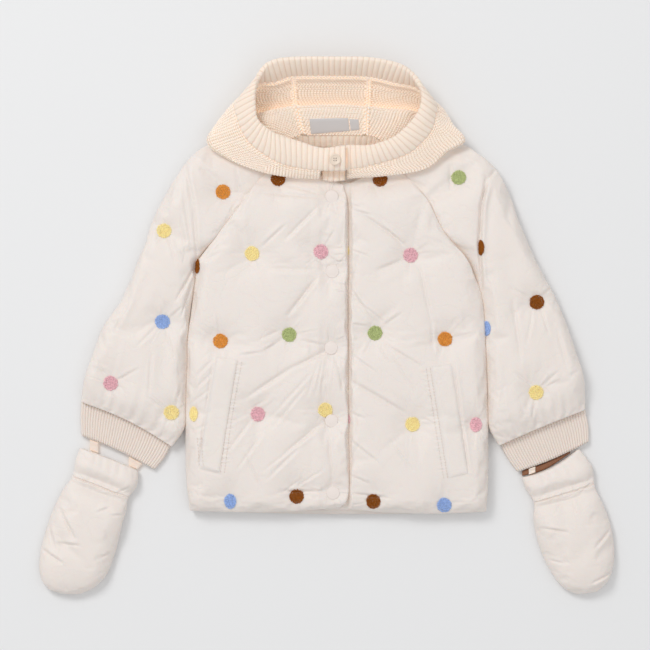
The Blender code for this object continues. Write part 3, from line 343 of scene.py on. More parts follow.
# fine creases: x, y of both ends, depth, half width
FINE_CREASES = (
    (326, 196, 285, 185, 0.9, 2.2), (325, 198, 262, 193, 1.0, 2.6), (318, 207, 286, 239, 1.3, 3.0),
    (262, 247, 286, 225, 1.0, 2.6), (317, 270, 268, 269, 1.1, 4.0), (317, 278, 288, 315, 1.7, 2.8),
    (280, 330, 259, 340, 0.9, 2.2), (299, 340, 324, 345, 0.9, 2.2), (325, 352, 292, 368, 1.5, 3.0),
    (294, 366, 246, 398, 1.5, 3.6), (317, 366, 308, 394, 0.9, 2.6), (323, 422, 285, 452, 1.3, 3.0),
    (249, 413, 231, 422, 0.8, 2.2), (252, 419, 229, 450, 1.0, 2.6), (280, 491, 323, 491, 1.1, 2.6),
    (327.5, 428, 333, 483, 1.0, 2.0), (361, 214, 404, 244, 1.3, 3.0), (378, 270, 402, 260, 1.0, 2.6),
    (418, 262, 431, 321, 1.1, 2.6), (351, 289, 372, 321, 1.0, 2.2), (384, 325, 401, 313, 0.9, 2.2),
    (351, 381, 404, 412, 1.3, 3.0), (351, 413, 365, 418, 0.8, 2.0), (422, 418, 432, 422, 0.8, 2.0),
    (350, 475, 369, 483, 0.9, 2.2), (351, 493, 391, 498, 0.9, 2.4), (185, 163, 194, 206, 1.6, 3.0),
    (194, 206, 197.5, 259, 1.6, 3.0), (182, 180, 192, 250, 1.0, 2.6), (235.5, 167, 239.5, 192, 1.2, 2.0),
    (450, 167, 450, 191, 1.2, 2.0), (496, 169, 488, 180, 1.6, 2.6), (488, 180, 479, 209, 1.8, 3.0),
    (481, 205, 478.5, 250, 3.6, 3.0), (478.5, 246, 482, 290, 3.0, 2.6), (486, 178, 480, 215, 2.6, 2.8),
    (168, 236, 176, 262, 0.9, 2.6), (158, 226, 146, 214, 0.8, 2.4), (170, 318, 184, 306, 0.8, 2.2),
    (156, 328, 138, 346, 0.9, 2.6), (166, 330, 176, 360, 0.9, 2.4), (118, 380, 140, 368, 0.9, 2.4),
    (106, 376, 98, 360, 0.7, 2.2), (176, 405, 182, 384, 0.8, 2.2), (165, 410, 148, 396, 0.8, 2.4),
    (152, 352, 150, 394, 1.0, 3.4), (130, 300, 116, 330, 1.0, 3.6), (540, 309, 548, 334, 0.9, 2.4),
    (529, 298, 510, 288, 0.9, 2.4), (541, 296, 556, 284, 0.8, 2.4), (532, 310, 526, 344, 0.9, 2.6),
    (531, 386, 514, 372, 0.9, 2.4), (541, 387, 556, 372, 0.9, 2.4), (534, 400, 532, 420, 0.8, 2.4),
    (512, 300, 520, 360, 1.0, 3.6), (556, 330, 566, 366, 1.0, 3.6), (57, 508, 63, 510, 0.8, 1.8),
    (62, 513, 75, 538, 2.0, 2.8), (48, 525, 55, 547, 1.7, 2.6), (40, 548, 63, 563, 1.8, 2.8),
    (57, 543, 80, 545, 1.5, 2.4), (112, 515, 123, 515, 0.9, 2.0), (97, 512, 110, 507, 0.9, 2.0),
    (102, 557, 110, 553, 0.8, 2.0), (82, 477, 87, 482, 0.9, 1.8), (117, 493, 130, 487, 0.9, 1.8),
    (538, 500, 543, 498, 0.8, 1.8), (560, 490, 563, 498, 0.8, 1.6), (572.5, 482, 575, 493, 0.8, 1.6),
    (580, 493, 592, 482, 0.9, 1.8), (573, 500, 575, 512, 0.8, 1.8), (560, 503, 555, 513, 0.8, 1.8),
    (542, 528, 567, 532, 1.7, 2.6), (334, 249, 344, 247.5, 0.7, 1.4), (334, 255, 344, 254.5, 0.6, 1.3),
    (335, 262, 346, 261, 0.7, 1.4), (336, 283, 346, 285, 0.7, 1.4), (335, 290, 345, 293, 0.6, 1.3),
    (337, 340, 346, 336, 0.6, 1.3), (337, 357, 347, 360, 0.7, 1.4), (322, 361, 316, 393, 0.9, 1.9),
    (328, 362, 326, 398, 0.9, 1.8), (336, 359, 343, 388, 0.9, 1.8), (240, 355, 262, 352, 1.0, 2.0),
    (262, 352, 284, 338, 1.0, 2.2), (214, 359, 194, 379, 1.2, 2.2), (213, 372, 193, 392, 1.2, 2.2),
    (212, 388, 193, 402, 0.9, 2.0), (208, 424, 190, 432, 0.9, 2.0), (197, 264, 177, 300, 2.2, 3.0),
    (194, 278, 182, 316, 1.7, 2.6), (181, 216, 185, 248, 1.0, 2.6), (384, 228, 404, 246, 1.0, 2.2),
    (431, 321, 433, 353, 0.9, 2.2), (352, 324, 366, 326, 0.8, 1.8), (386, 345, 421, 366, 1.2, 2.4),
    (378, 344, 389, 364, 0.8, 2.0), (352, 210, 372, 216, 0.8, 2.0), (350, 250, 368, 256, 0.7, 1.8),
    (352, 355, 376, 372, 0.9, 2.2), (390, 440, 412, 470, 0.9, 2.4), (350, 440, 378, 462, 1.0, 2.4),
    (300, 446, 268, 478, 1.0, 2.6), (322, 470, 296, 486, 0.8, 2.0), (244, 452, 262, 488, 0.9, 2.6),
    (213.5, 361, 206, 414, 1.4, 2.2), (206, 412, 199, 466, 1.4, 2.2), (453, 364, 461, 420, 1.4, 2.2),
    (460.5, 418, 467.5, 470, 1.5, 2.2), (312, 372, 264, 424, 0.9, 2.2), (316, 429, 264, 470, 0.9, 2.2),
    (307, 386, 272, 428, 0.7, 2.0), (268, 399, 246, 411, 0.8, 1.8), (262, 434, 238, 468, 0.9, 2.4),
    (302, 478, 283, 492, 0.8, 1.8), (356, 300, 384, 322, 0.7, 1.8), (390, 352, 414, 392, 0.8, 2.0),
    (199, 468, 222, 474, 1.0, 2.0), (548, 560, 563, 563, 0.9, 2.2), (612, 528, 595, 547, 1.8, 2.8),
    (613, 572, 592, 583, 1.6, 2.6),
)
# topstitched lines: points of each line in plan, and how far apart two parallel rows are
TOPSTITCH = (
    (((238.2, 361.5), (229.0, 412.0), (221.0, 470.5)), 4.0),
    (((429.8, 368.5), (438.0, 420.0), (446.8, 476.0)), 4.0),
    (((198.0, 438.0), (199.8, 463.5)), 4.0),
)


# ---- curves and grids -------------------------------------------------------------
def cubic(a: Array, b: Array, c: Array, d: Array, share: Array) -> Array:
    """A smooth curve from b to c that comes from a and goes on to d."""
    square = (2 * a - 5 * b + 4 * c - d) * share**2
    return 0.5 * (2 * b + (c - a) * share + square + (3 * b - 3 * c + d - a) * share**3)


def spline(rows: Array, at: Array) -> Array:
    """Points of a smooth curve through the rows.

    Args:
        rows: One row of numbers for each point that the curve passes through.
        at: Row numbers, which may be fractions.

    Returns:
        One row of numbers for each entry of at.
    """
    rows = np.asarray(rows, float)
    at = np.clip(np.asarray(at, float), 0, len(rows) - 1)
    ends = np.vstack([2 * rows[:1] - rows[1:2], rows, 2 * rows[-1:] - rows[-2:-1]])
    first = np.minimum(at.astype(int), len(rows) - 2)
    return cubic(*(ends[first + k] for k in range(4)), (at - first)[..., None])


def run_lengths(points: Array, axis: int = 0) -> Array:
    """How long the way from the first point to each one is, along one axis of a line or a grid."""
    steps = np.linalg.norm(np.diff(points, axis=axis), axis=-1)
    return np.insert(np.cumsum(steps, axis=axis), 0, 0.0, axis=axis)


def along(rows: Array, shares: Array) -> Array:
    """Points at the given shares of the length of a smooth curve through the rows."""
    fine = spline(rows, np.linspace(0, len(rows) - 1, 60 * len(rows)))
    lengths = run_lengths(fine)
    want = np.asarray(shares) * lengths[-1]
    return np.stack([np.interp(want, lengths, fine[:, k]) for k in range(fine.shape[1])], axis=-1)


def spread(count: int, crowd: float = 0.8) -> Array:
    """Shares from 0 to 1 that lie closer together near both ends."""
    even = np.linspace(0, 1, count + 1)
    return (1 - crowd) * even + crowd * (0.5 - 0.5 * np.cos(math.pi * even))


def rounding(distance: Array, radius: Array) -> Array:
    """A quarter circle's rise, from 0 at the edge to 1 at the radius."""
    inside = 1 - np.clip(np.asarray(distance, float) / radius, 0, 1)
    return np.sqrt(np.clip(1 - inside**2, 0, 1))


def unit(vectors: Array) -> Array:
    """The vectors at length 1."""
    return vectors / np.linalg.norm(vectors, axis=-1, keepdims=True)


def mix(first: Array, second: Array, share: Array) -> Array:
    """What lies at a share of the way from the first to the second."""
    return first * (1 - share) + second * share


def bell(away: Array, width: Array | float) -> Array:
    """1 at no distance, falling off softly over the width."""
    return np.exp(-((away / width) ** 2))


def smoothstep(value: Array) -> Array:
    """A soft step from 0 to 1."""
    value = np.clip(value, 0, 1)
    return value * value * (3 - 2 * value)


def to_world(plan: Array, height: Array | float) -> Array:
    """World metres of plan points and heights in millimetres."""
    plan = np.asarray(plan, float)
    height = np.broadcast_to(height, plan.shape[:-1])
    x, y = plan[..., 0] - PLAN_CENTRE[0], PLAN_CENTRE[1] - plan[..., 1]
    return np.stack([x * MM, y * MM, height * MM], axis=-1)


def ring_points(centre: tuple[float, float], radius: float, count: int, start: float = 0.0) -> Array:
    """Plan points evenly round a centre, the first one at the start angle."""
    turns = start + np.linspace(0, 2 * math.pi, count, endpoint=False)
    return np.array(centre) + radius * np.stack([np.cos(turns), np.sin(turns)], axis=-1)


def to_plan(points: Array) -> Array:
    """Plan millimetres of world points."""
    return np.stack([points[..., 0] / MM + PLAN_CENTRE[0], PLAN_CENTRE[1] - points[..., 1] / MM], axis=-1)


def grid_uv(points: Array) -> Array:
    """Millimetres along the rows and the columns of a grid of world points."""
    u, v = run_lengths(points, 1) / MM, run_lengths(points, 0) / MM
    return np.stack([u - u[:, -1:] / 2, v], axis=-1)


def grid_faces(rows: int, columns: int, ring: bool, start: int) -> list[list[int]]:
    """Quads of a grid whose first point has the number start."""
    at = start + np.arange(rows * columns).reshape(rows, columns)
    if ring:
        at = np.concatenate([at, at[:, :1]], axis=1)
    return np.stack([at[:-1, :-1], at[:-1, 1:], at[1:, 1:], at[1:, :-1]], axis=-1).reshape(-1, 4).tolist()


def bridge(fine: list[int], coarse: list[int], ring: bool) -> list[list[int]]:
    """Faces between an edge line and another with every few of its points."""
    runs = len(coarse) if ring else len(coarse) - 1
    step = len(fine) // runs if ring else (len(fine) - 1) // runs
    faces = []
    for run in range(runs):
        span = [fine[(run * step + k) % len(fine)] for k in range(step + 1)]
        faces.append([*span, coarse[(run + 1) % len(coarse)], coarse[run]])
    return faces


def add_object(name: str, data: bpy.types.ID) -> Object:
    """A new object in the scene."""
    made = bpy.data.objects.new(name, data)
    bpy.context.scene.collection.objects.link(made)
    return made


def set_attribute(mesh: Mesh, name: str, kind: str, key: str, values: Array) -> None:
    """Stores a value for each of the mesh's points."""
    mesh.attributes.new(name, kind, "POINT").data.foreach_set(key, np.asarray(values, np.float32).ravel())


def make_object(name: str, points: Array, faces: list[list[int]], uv: Array | None = None) -> Object:
    """A smooth object in the scene, its faces turned outwards.

    Args:
        name: The object's name.
        points: World points in metres.
        faces: Point numbers of each face.
        uv: Cloth millimetres of each point, or None.

    Returns:
        The new object.
    """
    mesh = bpy.data.meshes.new(name)
    mesh.from_pydata(points.tolist(), [], faces)
    if uv is not None:
        layer = mesh.uv_layers.new(name="cloth")
        corners = np.empty(len(mesh.loops), np.int32)
        mesh.loops.foreach_get("vertex_index", corners)
        layer.data.foreach_set("uv", uv[corners].astype(np.float32).ravel())
    shape = bmesh.new()
    shape.from_mesh(mesh)
    bmesh.ops.recalc_face_normals(shape, faces=shape.faces)
    shape.to_mesh(mesh)
    shape.free()
    mesh.shade_smooth()
    return add_object(name, mesh)


def wall_object(
    name: str, outer: Array, inner: Array, ring: bool = False, tip: bool = False, relief: Array | None = None
) -> Object:
    """A closed wall between an outer grid and an inner grid of the same or of coarser steps.

    Args:
        name: The object's name.
        outer: World points of the outer face, rows by columns.
        inner: World points of the inner face.
        ring: Whether the last column joins the first.
        tip: Whether the last row of each face is closed by a cap.
        relief: How far each column of both faces stands out, from 0 in a furrow to 1 on a rib.

    Returns:
        The new object.
    """
    rows, columns = outer.shape[:2]
    in_rows, in_columns = inner.shape[:2]
    offset = rows * columns
    out_at = np.arange(offset).reshape(rows, columns)
    in_at = offset + np.arange(in_rows * in_columns).reshape(in_rows, in_columns)
    faces = grid_faces(rows, columns, ring, 0) + grid_faces(in_rows, in_columns, ring, offset)
    faces += bridge(out_at[0].tolist(), in_at[0].tolist(), ring)
    if tip:
        faces += [out_at[-1].tolist(), in_at[-1].tolist()]
    else:
        faces += bridge(out_at[-1].tolist(), in_at[-1].tolist(), ring)
    if not ring:
        faces += bridge(out_at[:, 0].tolist(), in_at[:, 0].tolist(), False)
        faces += bridge(out_at[:, -1].tolist(), in_at[:, -1].tolist(), False)
    points = np.concatenate([outer.reshape(-1, 3), inner.reshape(-1, 3)])
    uv = np.concatenate([grid_uv(outer).reshape(-1, 2), grid_uv(inner).reshape(-1, 2)])
    made = make_object(name, points, faces, uv)
    if relief is not None:
        set_attribute(made.data, "relief", "FLOAT", "value", np.broadcast_to(relief, (2 * rows, columns)))
    return made


def coordinates(mesh: Mesh) -> Array:
    """The mesh's points, one row each."""
    found = np.empty(len(mesh.vertices) * 3, np.float32)
    mesh.vertices.foreach_get("co", found)
    return found.reshape(-1, 3).astype(float)


def set_coordinates(mesh: Mesh, points: Array) -> None:
    """Moves the mesh's points."""
    mesh.vertices.foreach_set("co", points.astype(np.float32).ravel())
    mesh.update()


def bake(piece: Object) -> None:
    """Makes the piece's modifiers part of its mesh."""
    graph = bpy.context.evaluated_depsgraph_get()
    made = bpy.data.meshes.new_from_object(piece.evaluated_get(graph), depsgraph=graph)
    piece.modifiers.clear()
    old = piece.data
    piece.data = made
    bpy.data.meshes.remove(old)
    made.name = piece.name
    made.shade_smooth()


class Ground:
    """Heights of finished pieces, for what is laid or sewn on them."""

    def __init__(self, *pieces: Object) -> None:
        """Reads the pieces."""
        bpy.context.view_layer.update()
        graph = bpy.context.evaluated_depsgraph_get()
        self.trees = [BVHTree.FromObject(piece, graph) for piece in pieces]

    def hit(self, plan: Array, upwards: bool = False) -> tuple[Array, Array] | None:
        """What a plan point meets from above, or from below.

        Args:
            plan: x and y of the plan point.
            upwards: Whether to look from below.

        Returns:
            World point and face direction, or None where there is no piece.
        """
        start = to_world(np.asarray(plan, float), -50.0 if upwards else 200.0)
        way = Vector((0, 0, 1 if upwards else -1))
        found = [tree.ray_cast(Vector(start), way) for tree in self.trees]
        found = [(np.array(place), np.array(normal)) for place, normal, *_ in found if place is not None]
        if not found:
            return None
        return (min if upwards else max)(found, key=lambda pair: pair[0][2])

    def height(self, plan: Array) -> float:
        """Height in millimetres under a plan point, or 0 where there is none."""
        found = self.hit(plan)
        return 0.0 if found is None else found[0][2] / MM


# ---- how thick the upper layer is -------------------------------------------------
def pressed(plan: Array) -> Array:
    """1 under the hood, falling to 0 a little way down the front."""
    hem = np.array(HOOD_HEM, float)
    below = plan[..., 1] - np.interp(plan[..., 0], hem[:, 0], hem[:, 1])
    return 1 - smoothstep((below - HOOD_PRESS_START) / HOOD_PRESS_REACH)


def upper_pad(plan: Array, free: Array | float = PUFF) -> Array:
    """Height of the upper padded layer over its plain inside, held down at dots and creases."""
    pad = np.broadcast_to(free, plan.shape[:-1]).astype(float)
    for away in spot_distances(plan):
        pad = pad * (1 - DOT_HOLD * bell(away, DOT_WIDTH))
    for x0, y0, x1, y1, depth, width in CREASES:
        share, away = crease_place(plan, (x0, y0), (x1, y1))
        fade = 0.4 + 0.6 * np.sin(math.pi * np.clip(share, 0.15, 0.85))
        pad = pad - SOFT_CREASE * depth * bell(away, width) * fade
    return mix(pad, np.minimum(pad, PRESSED_PAD), pressed(plan))


def crease_place(plan: Array, start: tuple[float, float], end: tuple[float, float]) -> tuple[Array, Array]:
    """Share along a crease, and signed distance from it, of each plan point."""
    run = np.array(end, float) - np.array(start, float)
    offset = plan - np.array(start, float)
    share = np.clip(offset @ run / (run @ run), 0, 1)
    away = offset - share[..., None] * run
    side = np.sign(offset[..., 0] * run[1] - offset[..., 1] * run[0])
    return share, np.linalg.norm(away, axis=-1) * np.where(side == 0, 1, side)


def gathers(share: Array, from_seam: Array, count: int) -> Array:
    """Rise of the soft pleats that a seam draws in, uneven and fading away from it."""
    fade = np.exp(-from_seam / GATHER_LENGTH) * smoothstep(from_seam / 5)
    uneven = 1 + 0.5 * np.sin(2.3 * math.pi * share * count / 3 + 1)
    pleats = np.cos(2 * math.pi * count * share + 1.3 * np.sin(5 * share))
    return GATHER_RISE * fade * uneven * pleats * np.sin(math.pi * share)


def edge_distances(plan: Array) -> tuple[Array, Array, Array, Array]:
    """Distances to the first and last column and to the first and last row."""
    across, up = run_lengths(plan, 1), run_lengths(plan, 0)
    return across, across[:, -1:] - across, up, up[-1:] - up


def spot_distances(plan: Array) -> list[Array]:
    """Distances of the plan points from the middle of each dot and each snap."""
    return [np.hypot(plan[..., 0] - x, plan[..., 1] - y) for x, y in (*DOTS, *SNAPS)]


def near_spots(plan: Array) -> Array:
    """Whether each plan point is sewn down under a dot or a snap."""
    return np.min(spot_distances(plan), axis=0) < HELD_RADIUS


def end_rows(count: int) -> Array:
    """Whether each of so many rows is the first or the last one."""
    row = np.arange(count)[:, None]
    return (row == 0) | (row == count - 1)


# ---- padded pieces -----------------------------------------------------------------
@dataclass(frozen=True)
class Filling:
    """How the wadding pushes the padded pieces out while their seams hold them."""

    pressure: float = 6.0
    slack: float = 0.02  # cloth to spare, which makes the creases
    frames: int = 18
    most_rise: float = 2.5  # millimetres
    most_shift: float = 2.5

    def fill(self, pads: "list[Pad]") -> None:
        """Fills all the pieces at once with a cloth simulation, and applies it.

        Args:
            pads: The padded pieces.
        """
        scene = bpy.context.scene
        before = [coordinates(pad.piece.data) for pad in pads]
        for pad in pads:
            group = pad.piece.vertex_groups.new(name="sewn")
            group.add([int(i) for i in np.flatnonzero(pad.held)], 1.0, "REPLACE")
            cloth = pad.piece.modifiers.new("wadding", "CLOTH")
            settings = cloth.settings
            settings.vertex_group_mass = group.name
            settings.quality = 5
            settings.mass = 0.0002
            settings.air_damping = 2.0
            settings.tension_stiffness = settings.compression_stiffness = 14
            settings.shear_stiffness = 5
            settings.bending_stiffness = 0.15
            settings.use_pressure = True
            settings.uniform_pressure_force = self.pressure
            settings.shrink_min = settings.shrink_max = -self.slack
            settings.effector_weights.gravity = 0
            cloth.collision_settings.use_collision = False
            cloth.collision_settings.use_self_collision = False
            cloth.point_cache.frame_start, cloth.point_cache.frame_end = 1, self.frames
        for number in range(1, self.frames + 1):
            scene.frame_set(number)
        for pad, start in zip(pads, before, strict=True):
            bake(pad.piece)
            moved = coordinates(pad.piece.data) - start
            limit = np.array([self.most_shift, self.most_shift, self.most_rise]) * MM
            moved = limit * np.tanh(np.nan_to_num(moved) / limit)
            set_coordinates(pad.piece.data, start + moved)
        scene.frame_set(1)


@dataclass
class Pad:
    """A padded piece of the shell: a closed wall, a plain inside and a filled outside."""

    name: str
    outer: Array
    inner: Array
    sewn: Array  # of each outer grid point
    fill: float = 0.6
    ring: bool = False
    tip: bool = False
    smooth_steps: int = 1
    piece: Object | None = field(default=None, repr=False)
    held: Array | None = field(default=None, repr=False)

    def build(self) -> Object:
        """Makes the wall before it is filled.

        Returns:
            The new object.
        """
        inner = self.inner[::COARSE, ::COARSE]
        self.piece = wall_object(f"{self.name}_cloth", self.outer, inner, self.ring, self.tip)
        self.held = np.concatenate([self.sewn.ravel(), np.ones(inner.shape[0] * inner.shape[1], bool)])
        return self.piece

    def finish(self, creases: "CreaseSet") -> None:
        """Smooths the filled wall once and presses the fine creases into it.

        Args:
            creases: The creases that cross the piece.
        """
        smooth = self.piece.modifiers.new("smooth", "SUBSURF")
        smooth.levels = smooth.render_levels = self.smooth_steps
        bake(self.piece)
        creases.press(self.piece)


@dataclass(frozen=True)
class CreaseSet:
    """Fine creases of the satin: those listed, and short ones round each dot and snap."""

    placed: tuple[tuple[float, ...], ...] = FINE_CREASES
    rays: int = 7
    ray_start: float = 6.2
    ray_depth: float = 0.5
    left_out: float = 0.35  # share of the rays that don't show
    seed: int = 11

    def all_creases(self) -> list[tuple[float, ...]]:
        """The placed creases and the rays, each as x, y of both ends, depth and half width."""
        rng = np.random.default_rng(self.seed)
        found = list(self.placed)
        for x, y in (*DOTS, *SNAPS):
            first = rng.uniform(0, 2 * math.pi)
            for ray in range(self.rays):
                if rng.random() < self.left_out:
                    continue
                turn = first + 2 * math.pi * (ray + rng.uniform(-0.35, 0.35)) / self.rays
                length = rng.uniform(7, 24)
                way = np.array([math.cos(turn), math.sin(turn)])
                start = np.array([x, y]) + way * self.ray_start
                end = start + way * length
                found.append((*start, *end, self.ray_depth * rng.uniform(0.4, 1.2), rng.uniform(0.9, 1.7)))
        for guide, apart in TOPSTITCH:
            for share in np.arange(0.03, 0.97, 0.045) + rng.uniform(-0.012, 0.012, 21):
                x, y = along(guide, np.array([share]))[0]
                outwards = 1 if x < PLAN_CENTRE[0] else -1
                end = x + (apart + rng.uniform(3, 6)) * outwards, y + rng.uniform(-1.5, 1.5)
                found.append((x - 1, y, *end, rng.uniform(0.3, 0.7), 1.3))
        return found

    def press(self, piece: Object) -> None:
        """Moves the upward faces of the piece into troughs, each with a soft ridge beside it.

        Args:
            piece: A finished padded piece.
        """
        points = coordinates(piece.data)
        normals = np.empty(len(piece.data.vertices) * 3, np.float32)
        piece.data.vertex_normals.foreach_get("vector", normals)
        up = smoothstep((normals.reshape(-1, 3)[:, 2] - 0.15) / 0.4) * smoothstep((points[:, 2] / MM - 11) / 3)
        plan = to_plan(points)
        low, high = plan.min(axis=0) - 12, plan.max(axis=0) + 12
        shift = np.zeros(len(points))
        for x0, y0, x1, y1, depth, width in self.all_creases():
            first, last = np.minimum((x0, y0), (x1, y1)), np.maximum((x0, y0), (x1, y1))
            if (last < low).any() or (first > high).any():
                continue
            near = np.flatnonzero(((plan > first - 4 * width) & (plan < last + 4 * width)).all(axis=1))
            share, away = crease_place(plan[near], (x0, y0), (x1, y1))
            fade = np.sqrt(np.clip(np.sin(math.pi * np.clip(share, 0.02, 0.98)), 0, 1))
            tight = 0.52 * width
            trough = bell(away, tight) - 0.5 * bell(away - 2.2 * tight, 1.9 * tight)
            shift[near] -= CREASE_DEPTH * depth * fade * trough
        points[:, 2] += shift * up * MM
        set_coordinates(piece.data, points)


def panel_edge(side: Array, raglan: Array, low: int, high: int) -> Array:
    """Edge points up the side and then up the raglan seam."""
    return np.vstack([along(side, spread(low, 0.5)), along(raglan, np.linspace(0, 1, high + 1))[1:]])


def placket_rows(placket: Array, low: int, high: int) -> Array:
    """Edge points up a placket, in the same rows."""
    lower = along(placket, spread(low, 0.5) * UNDERARM_SHARE)
    return np.vstack([lower, along(placket, np.linspace(UNDERARM_SHARE, 1, high + 1))[1:]])


def panel_plan(left: Array, right: Array, columns: int, hem_sag: float = HEM_SAG) -> Array:
    """Plan points between two edges of the same number of rows, the hem sagging a little."""
    share = spread(columns, 0.45)[None, :, None]
    plan = mix(left[:, None], right[:, None], share)
    fall = np.linspace(1, 0, len(left)) ** 3
    plan[..., 1] += hem_sag * fall[:, None] * np.sin(math.pi * share[..., 0])
    return plan


@dataclass(frozen=True)
class BackPanel:
    """The back: a padded layer that rests flat, with plain faces and rounded outer edges."""

    low: int = 72
    high: int = 36
    columns: int = 84
    rest: float = 0.6  # the embroidery on its underside fills this much

    def pad(self) -> Pad:
        """The padded piece."""
        left = panel_edge(SIDE_RIGHT, BACK_RAGLAN_RIGHT, self.low, self.high)
        right = panel_edge(SIDE_LEFT, BACK_RAGLAN_LEFT, self.low, self.high)
        plan = panel_plan(left, right, self.columns)
        start, end, hem, _ = edge_distances(plan)
        side = np.where(np.arange(len(plan)) <= self.low, 1.0, 0.0)[:, None]
        lift = 1 - rounding(hem, UNDER_ROUND) * (1 - side * (1 - rounding(np.minimum(start, end), UNDER_ROUND)))
        under = self.rest + (0.5 * BACK_PAD - self.rest) * lift
        sewn = np.ones(plan.shape[:2], bool)
        return Pad("back", to_world(plan, under), to_world(plan, BACK_PAD), sewn, 0.5, smooth_steps=0)


@dataclass(frozen=True)
class FrontPanel:
    """One front. The upper one passes over the lower one's placket edge."""

    name: str
    side: tuple
    raglan: tuple
    placket: tuple
    upper: bool
    low: int = 120
    high: int = 48

    def pad(self) -> Pad:
        """The padded piece."""
        outer_edge = panel_edge(self.side, self.raglan, self.low, self.high)
        outer_edge[:, 0] += SEAM_REACH * np.sign(outer_edge[:, 0] - PLAN_CENTRE[0])
        centre_edge = placket_rows(self.placket, self.low, self.high)
        if self.upper:
            plan = panel_plan(outer_edge, centre_edge, 72)
        else:
            lap_line = np.stack([np.full(len(centre_edge), LAP_EDGE), centre_edge[:, 1]], axis=1)
            over = panel_plan(outer_edge, lap_line, 63)
            under = panel_plan(lap_line, centre_edge, 9, 0)
            plan = np.concatenate([over, under[:, 1:]], axis=1)
        from_side, from_placket, hem, top = edge_distances(plan)
        seam = smoothstep((np.arange(len(plan)) - self.low + 8) / 16)[:, None]
        pad = upper_pad(plan)
        outer_pad = mix(EDGE_PAD, np.minimum(RAGLAN_PAD, SEAM_PAD_SHARE * pad), seam)
        pad = mix(outer_pad, pad, rounding(from_side, mix(EDGE_ROUND, RAGLAN_ROUND, seam)))
        pad = mix(EDGE_PAD, pad, rounding(hem, EDGE_ROUND) * (0.45 + 0.55 * rounding(top, 10)))
        sewn = (np.minimum.reduce([from_side, hem, top, from_placket]) < SEWN_NEAR) | near_spots(plan)
        if self.upper:
            lap = smoothstep((plan[..., 0] - LAP_START) / LAP_CLIMB)
            base = FRONT_BASE + lap * (PLACKET_PAD + LAYER_GAP)
            pad = mix(PLACKET_EDGE_PADS[0], pad - lap * LAP_THINNER, rounding(from_placket, 4))
        else:
            base = np.full(plan.shape[:-1], FRONT_BASE)
            lap = 1 - smoothstep((plan[..., 0] - LAP_EDGE + LAP_CLOSE) / 4.5)
            pad = mix(pad, np.minimum(pad, PLACKET_PAD), lap)
            pad = mix(PLACKET_EDGE_PADS[1], pad, rounding(from_placket, 6))
            sewn |= plan[..., 0] < LAP_EDGE - 2
        return Pad(self.name, to_world(plan, base + pad), to_world(plan, base), sewn)


def section_lines(start: Array, end: Array, share: Array, bow: Array, toward: Array) -> Array:
    """Plan points across a tube's sections, their middles bowed along the tube.

    Args:
        start: Plan point where each section starts.
        end: Plan point where it ends.
        share: Shares of the way, sections by points.
        bow: How far the middle of each section is moved.
        toward: The tube's direction.

    Returns:
        Plan points, sections by points.
    """
    plan = mix(start[:, None], end[:, None], share[..., None])
    return plan + (bow[:, None] * np.sin(math.pi * share))[..., None] * toward


